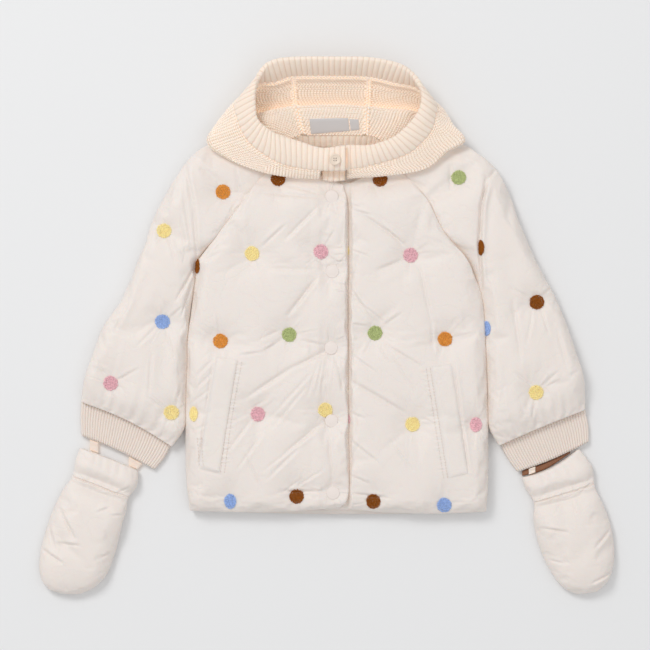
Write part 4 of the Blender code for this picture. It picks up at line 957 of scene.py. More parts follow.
@dataclass(frozen=True)
class Sleeve:
    """One rolled wall: upper layer from the front edge to the fold, then the lower layer back."""

    name: str
    sections: tuple
    wrist_bow: float
    rows: int = 141
    upper_columns: int = 54
    lower_columns: int = 15
    bow_sections: float = 1.4  # how many sections above the wrist its bow begins
    flat_sections: float = 0.7  # how many sections above the wrist the underside lifts into the cuff
    wrist_lift: float = 1.2

    def pad(self) -> Pad:
        """The padded piece."""
        down_sleeve = np.linspace(0, 1, self.rows + 1)
        wrist = len(self.sections) - 1
        rows = wrist * (0.75 * down_sleeve + 0.25 * np.sin(math.pi / 2 * down_sleeve))
        table = spline(self.sections, rows)
        front, fold, back, free = table[:, 0:2], table[:, 2:4], table[:, 4:6], table[:, 6]
        front = front + SEAM_REACH * unit(front - fold)
        closed = smoothstep(rows - (UNDERARM_ROW - 1))[:, None]
        from_wrist = np.linalg.norm(front[-1] - front, axis=1)[:, None]
        up = spread(self.upper_columns, 0.3)[::-1][None]
        down = spread(self.lower_columns, 0.75)[1:][None]
        bow = self.wrist_bow * smoothstep((rows - wrist) / self.bow_sections + 1)
        last = np.searchsorted(rows, wrist - 0.3)
        toward = unit(front[-1] + fold[-1] - front[last] - fold[last])

        def line(edge: Array, share: Array) -> Array:
            """Plan points from the fold (share 0) to an edge (share 1)."""
            return section_lines(fold, edge, share, bow, toward)

        width = np.linalg.norm(front - fold, axis=1)[:, None]
        back_width = np.linalg.norm(back - fold, axis=1)[:, None]
        upper_plan, lower_plan = line(front, up), line(back, down)
        from_fold, from_edge = up * width, (1 - up) * width
        pad = upper_pad(upper_plan, free[:, None]) + gathers(up, from_wrist, SLEEVE_GATHERS)
        edge_pad = mix(np.minimum(RAGLAN_PAD, SEAM_PAD_SHARE * pad), EDGE_PAD, closed)
        pad = mix(edge_pad, pad, rounding(from_edge, mix(RAGLAN_ROUND, EDGE_ROUND, closed)))
        upper_out = MID_HEIGHT + (LAYER_GAP / 2 + pad) * rounding(from_fold, EDGE_ROUND)
        from_fold_low, from_back = down * back_width, (1 - down) * back_width
        raised = closed * (1 - rounding(from_back, UNDER_ROUND)) * 0.6
        lift = 1 - rounding(from_fold_low, UNDER_ROUND) * (1 - raised)
        lower_out = MID_HEIGHT * lift * np.where(from_fold_low < 1e-6, 1, 0.92)
        near_wrist = smoothstep((rows - wrist) / self.flat_sections + 1)[:, None]
        lower_out = mix(lower_out, np.maximum(lower_out, self.wrist_lift), near_wrist)
        outer = np.concatenate([to_world(upper_plan, upper_out), to_world(lower_plan, lower_out)], axis=1)
        inset = np.minimum(WALL / width, 0.45)
        half = LAYER_GAP / 2
        upper_in = to_world(line(front, inset + (1 - inset) * up), MID_HEIGHT + half * rounding(from_fold, 3))
        lower_in = to_world(line(back, inset + (1 - inset) * down), MID_HEIGHT - half * rounding(from_fold_low, 3))
        inner = np.concatenate([upper_in, lower_in], axis=1)
        lower = np.ones(lower_plan.shape[:2], bool)
        upper_sewn = (from_edge < SEWN_NEAR) | near_spots(upper_plan) | end_rows(len(rows))
        return Pad(self.name, outer, inner, np.concatenate([upper_sewn, lower], axis=1))


@dataclass(frozen=True)
class Mitten:
    """A padded pouch that lies flat, drawn in by a stitched line below its mouth."""

    name: str
    sections: tuple
    under_pad: float = 7.0
    rows: int = 102
    upper_columns: int = 39
    lower_columns: int = 15
    seam_rows: tuple[float, float] = (0.16, 0.34)  # shares of the rows between which the seam lies
    seam_pad: float = 8.5  # least filling beside the seam
    seam_pad_reach: float = 9.0
    side_wall: float = 5.0
    solid_rows: int = 17  # rows at the tip without a plain inside

    def pad(self) -> Pad:
        """The padded piece."""
        # the rows lie close together at the seam
        near = (0, MITTEN_SEAM_ROW - 0.25, MITTEN_SEAM_ROW + 0.25, len(self.sections) - 1)
        rows = np.interp(np.linspace(0, 1, self.rows + 1), (0, *self.seam_rows, 1), near)
        table = spline(self.sections, rows)
        left, right, free, bow = table[:, 0:2], table[:, 2:4], table[:, 4], table[:, 5]
        toward = unit(left[-1] + right[-1] - left[0] - right[0])
        top = spread(self.upper_columns, 0.3)
        share = np.concatenate([top, spread(self.lower_columns, 0.85)[::-1][1:-1]])
        share = share[: len(share) // COARSE * COARSE]
        over = np.arange(len(share)) < len(top)

        def line(part: Array) -> Array:
            """Plan points at shares of the width from left to right."""
            return section_lines(left, right, part, bow, toward)

        plan = line(share[None])
        width = np.linalg.norm(right - left, axis=1)[:, None]
        from_edge = np.minimum(share, 1 - share)[None] * width
        from_seam = np.linalg.norm(left - np.array(self.sections[MITTEN_SEAM_ROW][0:2], float), axis=1)[:, None]
        row_length = run_lengths(left + right)[-1] / 2 / rows[-1]
        beside_seam = np.abs(rows - MITTEN_SEAM_ROW) * row_length
        free = np.maximum(free, self.seam_pad * bell(beside_seam, self.seam_pad_reach))
        pad = upper_pad(plan, free[:, None]) + MITTEN_GATHER * gathers(share[None], from_seam, MITTEN_GATHERS)
        pad = pad - SEAM_GROOVE * bell(beside_seam, SEAM_GROOVE_WIDTH)[:, None]
        mid = self.under_pad + LAYER_GAP / 2
        nose = rounding(from_edge, np.minimum(EDGE_ROUND, 0.45 * width))
        squash = np.minimum(1, free / 6)[:, None]
        above = mid + (LAYER_GAP / 2 + pad) * nose
        below = mid * (1 - rounding(from_edge, UNDER_ROUND) * squash)
        outer = to_world(plan, np.where(over[None], above, below))
        wall = np.minimum(self.side_wall / width, 0.3)
        inner_share = wall + (1 - 2 * wall) * share[None]
        half = LAYER_GAP / 2 * rounding(from_edge, 3)
        inner = to_world(line(inner_share), mid + np.where(over[None], half, -half))
        seam = np.abs(rows - MITTEN_SEAM_ROW)[:, None] < 0.04
        sewn = ~over[None] | seam | end_rows(len(rows))
        return Pad(self.name, outer, inner[: self.rows - self.solid_rows], sewn, ring=True, tip=True)


# ---- knitted pieces ----------------------------------------------------------------
HOOD_GUIDES = (HOOD_MOUTH, HOOD_SEAM, HOOD_EDGE, HOOD_TUCK, HOOD_CREST, HOOD_NECK)


def hood_middle(u: Array, v: Array) -> Array:
    """Middle of the hood's wall, in world metres.

    Args:
        u: Section number round the face opening.
        v: 0 at the mouth edge, then brim seam (1), outer edge (2), tuck (3), crest (4) and neck (5).

    Returns:
        World points.
    """
    u, v = np.broadcast_arrays(np.asarray(u, float), np.asarray(v, float))
    rows = np.stack([spline(guide, u) for guide in HOOD_GUIDES], axis=0)
    ends = np.concatenate([2 * rows[:1] - rows[1:2], rows, 2 * rows[-1:] - rows[-2:-1]])
    first = np.clip(v.astype(int), 0, len(rows) - 2)
    four = (np.take_along_axis(ends, (first + k)[None, ..., None], axis=0)[0] for k in range(4))
    place = cubic(*four, (v - first)[..., None])
    bulge = BRIM_BULGE * np.sin(math.pi * np.clip(v, 0, 1))
    return to_world(place[..., :2], place[..., 2] + bulge)


def hood_normal(u: Array, v: Array) -> Array:
    """Direction out of the hood's wall."""
    step = 0.04
    along_u = hood_middle(u + step, v) - hood_middle(u - step, v)
    along_v = hood_middle(u, v + step) - hood_middle(u, v - step)
    return unit(np.cross(along_u, along_v))


def hood_wall(u_values: Array, v_values: Array, thickness: Array | float) -> tuple[Array, Array]:
    """Both faces of a stretch of the hood, rows along v and columns along u."""
    v, u = np.meshgrid(v_values, u_values, indexing="ij")
    half = np.broadcast_to(thickness, u.shape)[..., None] * MM / 2
    middle, normal = hood_middle(u, v), hood_normal(u, v)
    return middle + normal * half, middle - normal * half


def rib_wave(turns: Array) -> Array:
    """Height from 0 to 1 of round ribs with narrow furrows, one for each whole turn."""
    return np.abs(np.sin(math.pi * turns)) ** 0.7


@dataclass(frozen=True)
class HoodPanel:
    """One knitted panel of the hood between two seams."""

    name: str
    start: float
    end: float
    columns: int
    rows: int = 66

    def build(self) -> Object:
        """The panel as a thin wall."""
        margin = 0.002  # of a section, so that neighbouring panels don't share a face
        sections = np.linspace(self.start + margin, self.end - margin, self.columns + 1)
        lines = np.linspace(1.003, 5.0, self.rows + 1)
        edge = np.minimum(np.arange(self.rows + 1), np.arange(self.rows + 1)[::-1]) / 3
        thickness = KNIT * (0.7 + 0.3 * rounding(edge, 1.0))[:, None]
        outer, inner = hood_wall(sections, lines, thickness)
        return wall_object(f"{self.name}_cloth", outer, inner)


@dataclass(frozen=True)
class Brim:
    """The rib-knitted band round the face opening, its ends lapped under the button."""

    name: str = "hood_brim"
    steps_per_rib: int = 6
    rows: int = 14
    seam_at: float = 0.998  # just short of the panels, on the scale of hood_middle

    def build(self) -> Object:
        """The band as a doubled wall with round ribs on both faces."""
        fine = np.linspace(0.0, len(HOOD_MOUTH) - 1.0, 2000)
        line = hood_middle(fine, np.full(len(fine), 0.5)) / MM
        lengths = run_lengths(line)
        ribs = int(round(lengths[-1] / BRIM_RIB_PITCH))
        turns = np.linspace(0, ribs, ribs * self.steps_per_rib + 1)
        sections = np.interp(turns / ribs * lengths[-1], lengths, fine)
        across = np.linspace(0, self.seam_at, self.rows + 1)
        fade = rounding(np.minimum(across, self.seam_at - across), 0.12)[:, None]
        raised = (2 * BRIM_RIB_RISE + 0.5) * rib_wave(turns)[None] * (0.55 + 0.45 * fade)
        thickness = BRIM_KNIT * (0.72 + 0.28 * fade) + raised - 0.5
        outer, inner = hood_wall(sections, across, thickness)
        return wall_object(f"{self.name}_cloth", outer, inner, relief=rib_wave(turns))


@dataclass(frozen=True)
class Cuff:
    """A flattened tube of rib knit."""

    name: str
    sections: tuple
    steps_per_rib: int = 6
    rows: int = 12

    def build(self) -> Object:
        """The tube, with round ribs over its upper half and a flat underside."""
        table = spline(self.sections, np.linspace(0, 2, self.rows + 1))
        inner_edge, outer_edge, bow = table[:, 0:2], table[:, 2:4], table[:, 4]
        toward = unit(inner_edge[-1] + outer_edge[-1] - inner_edge[0] - outer_edge[0])
        into_sleeve = (np.linspace(1, 0, self.rows + 1) ** 4 * SEAM_REACH)[:, None] * toward
        inner_edge, outer_edge = inner_edge - into_sleeve, outer_edge - into_sleeve
        width = np.linalg.norm(outer_edge - inner_edge, axis=1)
        ribs = int(round(width.mean() / CUFF_RIB_PITCH))
        height = 2 * CUFF_WALL + LAYER_GAP
        turns = np.linspace(0, ribs, ribs * self.steps_per_rib + 1)
        share = np.concatenate([turns / ribs, np.linspace(1, 0, ribs + 1)[1:-1]])
        over = np.arange(len(share)) < len(turns)
        rib = np.concatenate([rib_wave(turns), np.zeros(len(share) - len(turns))])[None] * (CUFF_RIB_RISE * 2.2)

        def grid(draw_in: float, wall: float, raised: Array | float) -> Array:
            """One face of the tube."""
            part = draw_in / width[:, None] + (1 - 2 * draw_in / width[:, None]) * share[None]
            plan = section_lines(inner_edge, outer_edge, part, bow, toward)
            from_edge = np.minimum(share, 1 - share)[None] * width[:, None]
            nose = rounding(from_edge, height / 2)
            swell = (height / 2 - wall) * nose
            ribbed = swell + (raised - FURROW) * nose * (wall == 0)
            return to_world(plan, height / 2 + np.where(over[None], ribbed, -swell))

        relief = np.concatenate([rib_wave(turns), np.ones(len(share) - len(turns))])
        outer, inner = grid(0, 0, rib), grid(CUFF_WALL, CUFF_WALL, 0)
        return wall_object(f"{self.name}_cloth", outer, inner, ring=True, relief=relief)


@dataclass(frozen=True)
class RibStrip:
    """A short rib-knitted strip between two edge lines."""

    name: str
    guide: tuple
    join_rise: float = 0.0  # how much higher its upper edge is pulled, to the piece it is linked to
    steps_per_rib: int = 8
    rows: int = 6

    def build(self) -> Object:
        """The strip, ribbed on its upper face."""
        at = np.asarray(self.guide, float) + np.array([0, 0, self.join_rise, 0, 0, 0])
        ribs = int(round(run_lengths(at[:, :2])[-1] / NECK_RIB_PITCH))
        turns = np.linspace(0, ribs, ribs * self.steps_per_rib + 1)
        line = spline(at, turns / ribs * (len(at) - 1))
        share = np.linspace(0, 1, self.rows + 1)[:, None, None]
        place = mix(line[None, :, :3], line[None, :, 3:], share)
        half = NECK_KNIT / 2
        rise = (BRIM_RIB_RISE + FURROW) * rib_wave(turns)[None] - FURROW
        upper = to_world(place[..., :2], place[..., 2] + half + rise)
        under = to_world(place[..., :2], place[..., 2] - half)
        return wall_object(f"{self.name}_cloth", upper, under, relief=rib_wave(turns))


@dataclass(frozen=True)
class SeamRidge:
    """The linked seam allowances that stand up as plaited ridges inside the hood."""

    pitch: float = 3.2
    spread: float = 1.4
    length: float = 4.2
    width: float = 2.7

    def build(self, net: "ThreadNet", finish: Material) -> Object:
        """The ridges along both crown seams and along the brim seam.

        Args:
            net: Lays the loops.
            finish: The yarn's material.

        Returns:
            The new object.
        """
        # on the scales of hood_middle: both crown seams, before and past the hidden fold, then the brim seam
        lines = [
            (np.full(count, float(seam)), np.linspace(start, end, count))
            for start, end, count in ((1.0, 3.2, 400), (3.75, 4.95, 200))
            for seam in HOOD_JOINS[1:3]
        ]
        lines.append((np.linspace(7.4, 14.6, 400), np.full(400, 1.02)))
        places, headings = [], []
        for u, v in lines:
            line = hood_middle(u, v)
            lengths = run_lengths(line) / MM
            at = np.arange(0, lengths[-1], self.pitch / 2)
            spots = np.stack([np.interp(at, lengths, line[:, k]) for k in range(3)], axis=-1)
            inside = -hood_normal(np.interp(at, lengths, u), np.interp(at, lengths, v))
            way = unit(np.gradient(spots, axis=0))
            across = np.cross(inside, way)
            turn = np.where(np.arange(len(at)) % 2, 1.0, -1.0)[:, None]
            places.append(spots + inside * (KNIT / 2 + 1.0) * MM + across * turn * self.spread * MM)
            headings.append(way + 0.75 * turn * across)
        laid = np.concatenate(places), np.concatenate(headings)
        return net.lay("hood_seam_ridges", *laid, self.length, self.width, finish)


@dataclass(frozen=True)
class PurlStitches:
    """The raised purl loops of the hood's garter stitch, on the faces that show."""

    row_height: float = 2.05
    stitch_width: float = 3.1
    length: float = 3.0
    width: float = 1.95
    seam_room: float = 3.0
    least: float = 0.55  # rows squeezed below this share of their height leave out every second one
    # past this line the front sections lie hidden under the hood's outer layer
    hidden_from: float = 2.7
    first_shown: float = 4.0
    last_shown: float = 18.0

    def build(self, net: "ThreadNet", finish: Material) -> Object:
        """The loops in offset rows.

        Args:
            net: Lays the loops.
            finish: The yarn's material.

        Returns:
            The new object.
        """
        first, _, _, last = HOOD_JOINS
        fine_u = np.linspace(first + 0.02, last - 0.02, 600)
        fine_v = np.linspace(1.04, 4.97, 400)
        # rows are set where the knit runs widest, and every second one ends where it runs narrow
        downs = [hood_middle(np.full(len(fine_v), u), fine_v) for u in np.linspace(first + 0.5, last - 0.5, 41)]
        steps = np.max([np.linalg.norm(np.diff(down, axis=0), axis=1) for down in downs], axis=0) / MM
        reach = np.insert(np.cumsum(steps), 0, 0.0)
        rows = np.interp(np.arange(0, reach[-1], self.row_height), reach, fine_v)
        places, headings, gauges = [], [], []
        for number, v in enumerate(rows):
            line = hood_middle(fine_u, np.full(len(fine_u), v))
            lengths = run_lengths(line) / MM
            at = np.arange(self.stitch_width * (0.5 + 0.5 * (number % 2)), lengths[-1], self.stitch_width)
            u = np.interp(at, lengths, fine_u)
            vs = np.full(len(u), v)
            normal = hood_normal(u, vs)
            side = np.where(normal[:, 2:] >= 0, 1.0, -1.0)
            spots = hood_middle(u, vs)
            gap = np.linalg.norm(hood_middle(u, vs + 0.02) - spots, axis=1) / 0.02
            step = (rows[min(number + 1, len(rows) - 1)] - rows[min(number, len(rows) - 2)]) * gap / MM
            squeeze = step / self.row_height
            seams = np.interp(np.array(HOOD_JOINS[1:3], float), fine_u, lengths)
            kept = (squeeze > self.least) | (number % 2 == 0)
            kept &= np.abs(at[:, None] - seams).min(axis=1) > self.seam_room
            if v > self.hidden_from:
                kept &= (u > self.first_shown) & (u < self.last_shown)
            squeeze = np.clip(np.where(squeeze > self.least, squeeze, 2 * squeeze), 0.45, 1.25)
            u, vs, normal, side, spots, squeeze = (part[kept] for part in (u, vs, normal, side, spots, squeeze))
            ahead = hood_middle(u + 0.02, vs) - hood_middle(u - 0.02, vs)
            # steep stretches show both faces, and garter stitch is the same on both
            for face, shown in ((side, np.ones(len(u), bool)), (-side, np.abs(normal[:, 2]) < 0.7)):
                places.append((spots + normal * face * (KNIT / 2 - 0.1) * MM)[shown])
                headings.append(unit(ahead)[shown])
                gauges.append(np.stack([np.ones(len(u)), squeeze, squeeze], axis=-1)[shown])
        laid = np.concatenate(places), np.concatenate(headings)
        return net.lay("hood_purl_stitches", *laid, self.length, self.width, finish, np.concatenate(gauges))


# ---- small parts -------------------------------------------------------------------
@dataclass(frozen=True)
class LaidPiece:
    """A thin piece made from the points of what it lies on, moved out."""

    name: str
    corners: tuple
    rows: int
    columns: int
    lift: float
    thickness: float
    ripple: float = 0.0  # puckers along its sewn sides
    soften: int = 0
    open_side: int = 0  # -1 or 1 where the left or the right side is not sewn down

    def build(self, ground: Ground) -> Object:
        """The piece on its ground."""
        upper_left, upper_right, lower_right, lower_left = (np.array(c, float) for c in self.corners)
        s, t = np.meshgrid(np.linspace(0, 1, self.columns + 1), np.linspace(0, 1, self.rows + 1))
        upper, lower = mix(upper_left, upper_right, s[..., None]), mix(lower_left, lower_right, s[..., None])
        plan = mix(upper, lower, t[..., None])
        seat = np.array([[ground.height(p) for p in line] for line in plan])
        for _ in range(self.soften):
            padded = np.pad(seat, 1, mode="edge")
            seat = 0.5 * seat + 0.125 * (padded[:-2, 1:-1] + padded[2:, 1:-1] + padded[1:-1, :-2] + padded[1:-1, 2:])
        width = np.linalg.norm(plan[0, -1] - plan[0, 0])
        length = np.linalg.norm(plan[-1, 0] - plan[0, 0])
        rim = np.minimum.reduce([s * width, (1 - s) * width, t * length, (1 - t) * length])
        near_side = bell(np.minimum(s, 1 - s) * width, 3.0)
        # uneven little waves that the stitching draws in
        pucker = self.ripple * near_side * (np.sin(t * length * 1.9 + 3 * np.sin(t * 9)) - 0.4)
        rise = self.thickness * (0.45 + 0.55 * rounding(rim, 1.6)) + pucker
        if self.open_side:
            # an open side lies thin on the cloth, and so do the piece's ends
            sewn = (1 - s if self.open_side < 0 else s) * width
            ends = np.minimum(t, 1 - t) * length
            rise *= (0.08 + 0.92 * smoothstep(sewn / 5.0)) * (0.3 + 0.7 * smoothstep(ends / 1.5))
        seat = seat + self.lift
        made = wall_object(f"{self.name}_cloth", to_world(plan, seat + rise), to_world(plan, seat))
        made.data.set_sharp_from_angle(angle=math.radians(40))
        return made


@dataclass(frozen=True)
class FlatPiece:
    """A small piece of cloth between two edges, with its faces level and its edges soft."""

    name: str
    upper_edge: tuple
    lower_edge: tuple
    low: float
    high: float
    curl: float = 0.0

    def build(self) -> Object:
        """The piece."""
        shares = np.linspace(0, 1, 25)
        upper, lower = along(self.upper_edge, shares), along(self.lower_edge, shares)
        across = np.linspace(0, 1, 9)[:, None, None]
        plan = mix(upper[None], lower[None], across)
        rim = np.minimum(np.minimum(shares, 1 - shares)[None] * 4, np.minimum(across, 1 - across)[..., 0] * 4)
        roll = self.curl * np.cos(2 * math.pi * across[..., 0])
        top = self.high + roll - (self.high - self.low) * 0.3 * (1 - rounding(rim, 1.0))
        return wall_object(f"{self.name}_cloth", to_world(plan, top), to_world(plan, self.low))


@dataclass(frozen=True)
class Turned:
    """A turned solid from its half profile of radius and height."""

    name: str
    profile: tuple
    plan: tuple[float, float]
    height: float
    steps: int = 48

    def build(self) -> Object:
        """The solid, standing on its height."""
        radius, rise = np.array(self.profile, float).T
        plan = np.stack([ring_points(self.plan, r, self.steps) for r in radius[1:-1]])
        points = to_world(plan, (self.height + rise[1:-1])[:, None] * np.ones(self.steps))
        ends = to_world(np.array([self.plan, self.plan], float), self.height + rise[[0, -1]])
        rows = len(points)
        faces = grid_faces(rows, self.steps, True, 0)
        under, top = rows * self.steps, rows * self.steps + 1
        for k in range(self.steps):
            after = (k + 1) % self.steps
            faces += [[k, after, under], [(rows - 1) * self.steps + k, (rows - 1) * self.steps + after, top]]
        return make_object(self.name, np.concatenate([points.reshape(-1, 3), ends]), faces)


# ---- thread, laid by Geometry Nodes ------------------------------------------------
class ThreadNet:
    """A node group that lays one rounded stitch on every point, turned along its heading."""

    def __init__(self) -> None:
        """Makes the group with named inputs for the stitch's sizes and its finish."""
        tree = bpy.data.node_groups.new("lay_stitches", "GeometryNodeTree")
        kinds = {"Points": "Geometry", "Stitch length": "Float", "Thread width": "Float", "Thread finish": "Material"}
        self.inputs = {
            label: tree.interface.new_socket(label, in_out="INPUT", socket_type=f"NodeSocket{kind}").identifier
            for label, kind in kinds.items()
        }
        tree.interface.new_socket("Stitches", in_out="OUTPUT", socket_type="NodeSocketGeometry")
        into, out = tree.nodes.new("NodeGroupInput"), tree.nodes.new("NodeGroupOutput")
        ball = add_node(tree, "GeometryNodeMeshIcoSphere", {"Radius": 0.5, "Subdivisions": 1})
        length, width = into.outputs["Stitch length"], into.outputs["Thread width"]
        size = add_node(tree, "ShaderNodeCombineXYZ", {"X": length, "Y": width, "Z": width})
        shape = add_node(tree, "GeometryNodeTransform", {"Geometry": ball.outputs["Mesh"], "Scale": size.outputs[0]})
        heading, gauge = (
            add_node(tree, "GeometryNodeInputNamedAttribute", {"Name": name}, data_type="FLOAT_VECTOR")
            for name in ("heading", "gauge")
        )
        turn = add_node(tree, "FunctionNodeAlignRotationToVector", {"Vector": heading.outputs["Attribute"]}, axis="X")
        laid = add_node(
            tree, "GeometryNodeInstanceOnPoints",
            {
                "Points": into.outputs["Points"], "Instance": shape.outputs["Geometry"],
                "Rotation": turn.outputs["Rotation"], "Scale": gauge.outputs["Attribute"],
            },
        )
        real = add_node(tree, "GeometryNodeRealizeInstances", {"Geometry": laid.outputs["Instances"]})
        finish = into.outputs["Thread finish"]
        done = add_node(tree, "GeometryNodeSetMaterial", {"Geometry": real.outputs["Geometry"], "Material": finish})
        tree.links.new(done.outputs["Geometry"], out.inputs["Stitches"])
        self.tree = tree

    def lay(
        self, name: str, places: Array, headings: Array, length: float, width: float,
        finish: Material, gauge: Array | None = None,
    ) -> Object:
        """One joined mesh of stitches.

        Args:
            name: The object's name.
            places: World points of the stitches' middles.
            headings: Direction of each stitch.
            length: Stitch length in millimetres.
            width: Thread width in millimetres.
            finish: The thread's material.
            gauge: Share of the length and of the width for each stitch, or None for all of it.

        Returns:
            The new object.
        """
        gauge = np.ones((len(places), 3)) if gauge is None else gauge
        mesh = bpy.data.meshes.new(name)
        mesh.from_pydata(np.asarray(places).tolist(), [], [])
        set_attribute(mesh, "heading", "FLOAT_VECTOR", "vector", headings)
        set_attribute(mesh, "gauge", "FLOAT_VECTOR", "vector", gauge)
        made = add_object(name, mesh)
        nodes = made.modifiers.new("stitches", "NODES")
        nodes.node_group = self.tree
        for label, value in (("Stitch length", length * MM), ("Thread width", width * MM), ("Thread finish", finish)):
            nodes[self.inputs[label]] = value
        bake(made)
        return made


GOLDEN_ANGLE = 2.39996  # each loop's turn past the one before, which fills a disc evenly


@dataclass(frozen=True)
class Embroidery:
    """Round dots of looped pile thread, sewn through the satin."""

    radius: float = 6.6
    loops: int = 200
    rim_loops: int = 46
    under_loops: int = 110
    length: float = 1.9
    width: float = 1.05
    rise: float = 0.25
    tufts: float = 0.8  # how much higher the highest loops stand
    under_rise: float = 0.15
    steepest: float = 0.12  # least upward part of the cloth's direction under a loop
    seed: int = 5

    def points(
        self, spot: tuple[float, float], ground: Ground, rng: np.random.Generator, upwards: bool, shown: float = 1.0
    ) -> tuple[list[Array], list[Array]]:
        """Places and headings of one dot's loops, on the piece it is sewn to.

        Args:
            spot: Middle of the dot in plan.
            ground: The piece.
            rng: Source of the loops' unevenness.
            upwards: Whether the dot is on the underside.
            shown: Share of the dot's width that shows.

        Returns:
            World points and directions.
        """
        places, headings = [], []
        loops = self.under_loops if upwards else self.loops
        rise, unevenness = (self.under_rise, self.under_rise) if upwards else (self.rise, self.tufts)
        rim = self.rim_loops * loops // self.loops
        inner = loops - rim
        for loop in range(loops):
            on_rim = loop >= inner
            if on_rim:
                turn = 2 * math.pi * (loop + rng.uniform(-0.2, 0.2)) / rim
                reach = self.radius * rng.uniform(0.96, 1.08)
            else:
                turn = loop * GOLDEN_ANGLE
                reach = self.radius * math.sqrt((loop + 0.5) / inner) * rng.uniform(0.93, 1.03)
            place = spot[0] + reach * math.cos(turn) * shown, spot[1] + reach * math.sin(turn)
            found = ground.hit(place, upwards)
            if found is None or abs(found[1][2]) < self.steepest:
                continue
            place, normal = found
            lift = rise + rng.uniform(0, unevenness)
            way = -turn + rng.uniform(-0.25, 0.25) if on_rim else rng.uniform(0, 2 * math.pi)
            flat = np.array([math.cos(way), math.sin(way), 0.0])
            places.append(place + normal * lift * MM)
            headings.append(unit(flat - normal * float(flat @ normal)))
        return places, headings

    def build(
        self, net: ThreadNet, pieces: dict[str, Object], finishes: dict[Thread, Material]
    ) -> list[Object]:
        """All the dots, one piece for each colour.

        Args:
            net: Lays the loops.
            pieces: The finished padded pieces by name.
            finishes: The thread's material for each colour.

        Returns:
            The new objects.
        """
        grounds = {name: Ground(piece) for name, piece in pieces.items()}
        rng = np.random.default_rng(self.seed)
        gathered: dict[Thread, tuple[list[Array], list[Array]]] = {colour: ([], []) for colour in Thread}
        underside = ((x, y, colour, "back") for x, y, colour in BACK_EMBROIDERY)
        for x, y, colour, panel, *shown in (*EMBROIDERY, *underside):
            places, headings = self.points((x, y), grounds[panel], rng, panel == "back", *shown)
            gathered[colour][0].extend(places)
            gathered[colour][1].extend(headings)
        made = []
        for colour, (places, headings) in gathered.items():
            dots = net.lay(f"dots_{colour.name.lower()}", places, headings, self.length, self.width, finishes[colour])
            points = coordinates(dots.data)
            points[:, 2] = np.maximum(points[:, 2], 0.0)
            set_coordinates(dots.data, points)
            made.append(dots)
        return made


@dataclass(frozen=True)
class Topstitch:
    """Rows of lockstitch in the shell's own colour."""

    pitch: float = 2.9
    length: float = 2.1
    width: float = 0.75

    def build(self, net: ThreadNet, ground: Ground, finish: Material) -> Object:
        """All the topstitched lines.

        Args:
            net: Lays the stitches.
            ground: The pieces that they are sewn through.
            finish: The thread's material.

        Returns:
            The new object.
        """
        places, headings = [], []
        for guide, apart in TOPSTITCH:
            length = run_lengths(along(guide, np.linspace(0, 1, 200)))[-1]
            line = along(guide, np.linspace(0, 1, int(length / self.pitch) + 1))
            way = unit(np.gradient(line, axis=0))
            side = np.stack([way[:, 1], -way[:, 0]], axis=-1)
            inwards = 1 if guide[0][0] < PLAN_CENTRE[0] else -1
            for row in (0.0, apart):
                for spot, heading in zip(line + side * row * inwards, way, strict=True):
                    found = ground.hit(spot)
                    if found is None:
                        continue
                    place, normal = found
                    direction = np.array([heading[0], -heading[1], 0.0])
                    places.append(place + normal * 0.12 * MM)
                    headings.append(unit(direction - normal * float(direction @ normal)))
        return net.lay("topstitching", places, headings, self.length, self.width, finish)


# ---- finishes ------------------------------------------------------------------------
def linear(code: str) -> tuple[float, float, float, float]:
    """Linear colour of an sRGB hex code."""
    parts = (int(code[k : k + 2], 16) / 255 for k in (1, 3, 5))
    return (*(p / 12.92 if p <= 0.04045 else ((p + 0.055) / 1.055) ** 2.4 for p in parts), 1.0)


def add_node(tree: NodeTree, kind: str, inputs: dict | None = None, **settings: object) -> Node:
    """A new node with its settings made and its inputs set or linked.

    Args:
        tree: The node tree.
        kind: The node's type.
        inputs: A number, colour or output socket for each named input.
        **settings: Attributes of the node.

    Returns:
        The node.
    """
    node = tree.nodes.new(kind)
    for name, value in settings.items():
        setattr(node, name, value)
    for name, value in (inputs or {}).items():
        if isinstance(value, NodeSocket):
            tree.links.new(value, node.inputs[name])
        else:
            node.inputs[name].default_value = value
    return node


def bumps(tree: NodeTree, shader: Node, *layers: tuple[NodeSocket, float, float]) -> None:
    """Lays bumps of real depths over one another.

    Args:
        tree: The material's node tree.
        shader: Its Principled node.
        *layers: Height, depth in millimetres and strength of each, from the lowest one up.
    """
    under = {}
    for height, depth, strength in layers:
        inputs = {"Height": height, "Distance": depth * MM, "Strength": strength, **under}
        under = {"Normal": add_node(tree, "ShaderNodeBump", inputs).outputs["Normal"]}
    tree.links.new(under["Normal"], shader.inputs["Normal"])


def noise(tree: NodeTree, scale: float, detail: float = 2.0, distortion: float = 0.0) -> NodeSocket:
    """Noise over the piece, its scale in waves to the metre."""
    place = add_node(tree, "ShaderNodeTexCoord").outputs["Object"]
    inputs = {"Vector": place, "Scale": scale, "Detail": detail, "Distortion": distortion}
    return add_node(tree, "ShaderNodeTexNoise", inputs).outputs["Fac"]


def remap(
    tree: NodeTree, value: NodeSocket, low: float, high: NodeSocket | float, to_low: float = 0.0, to_high: float = 1.0
) -> NodeSocket:
    """The value between low and high, carried over to between to_low and to_high."""
    inputs = {"Value": value, "From Min": low, "From Max": high, "To Min": to_low, "To Max": to_high}
    return add_node(tree, "ShaderNodeMapRange", inputs).outputs[0]


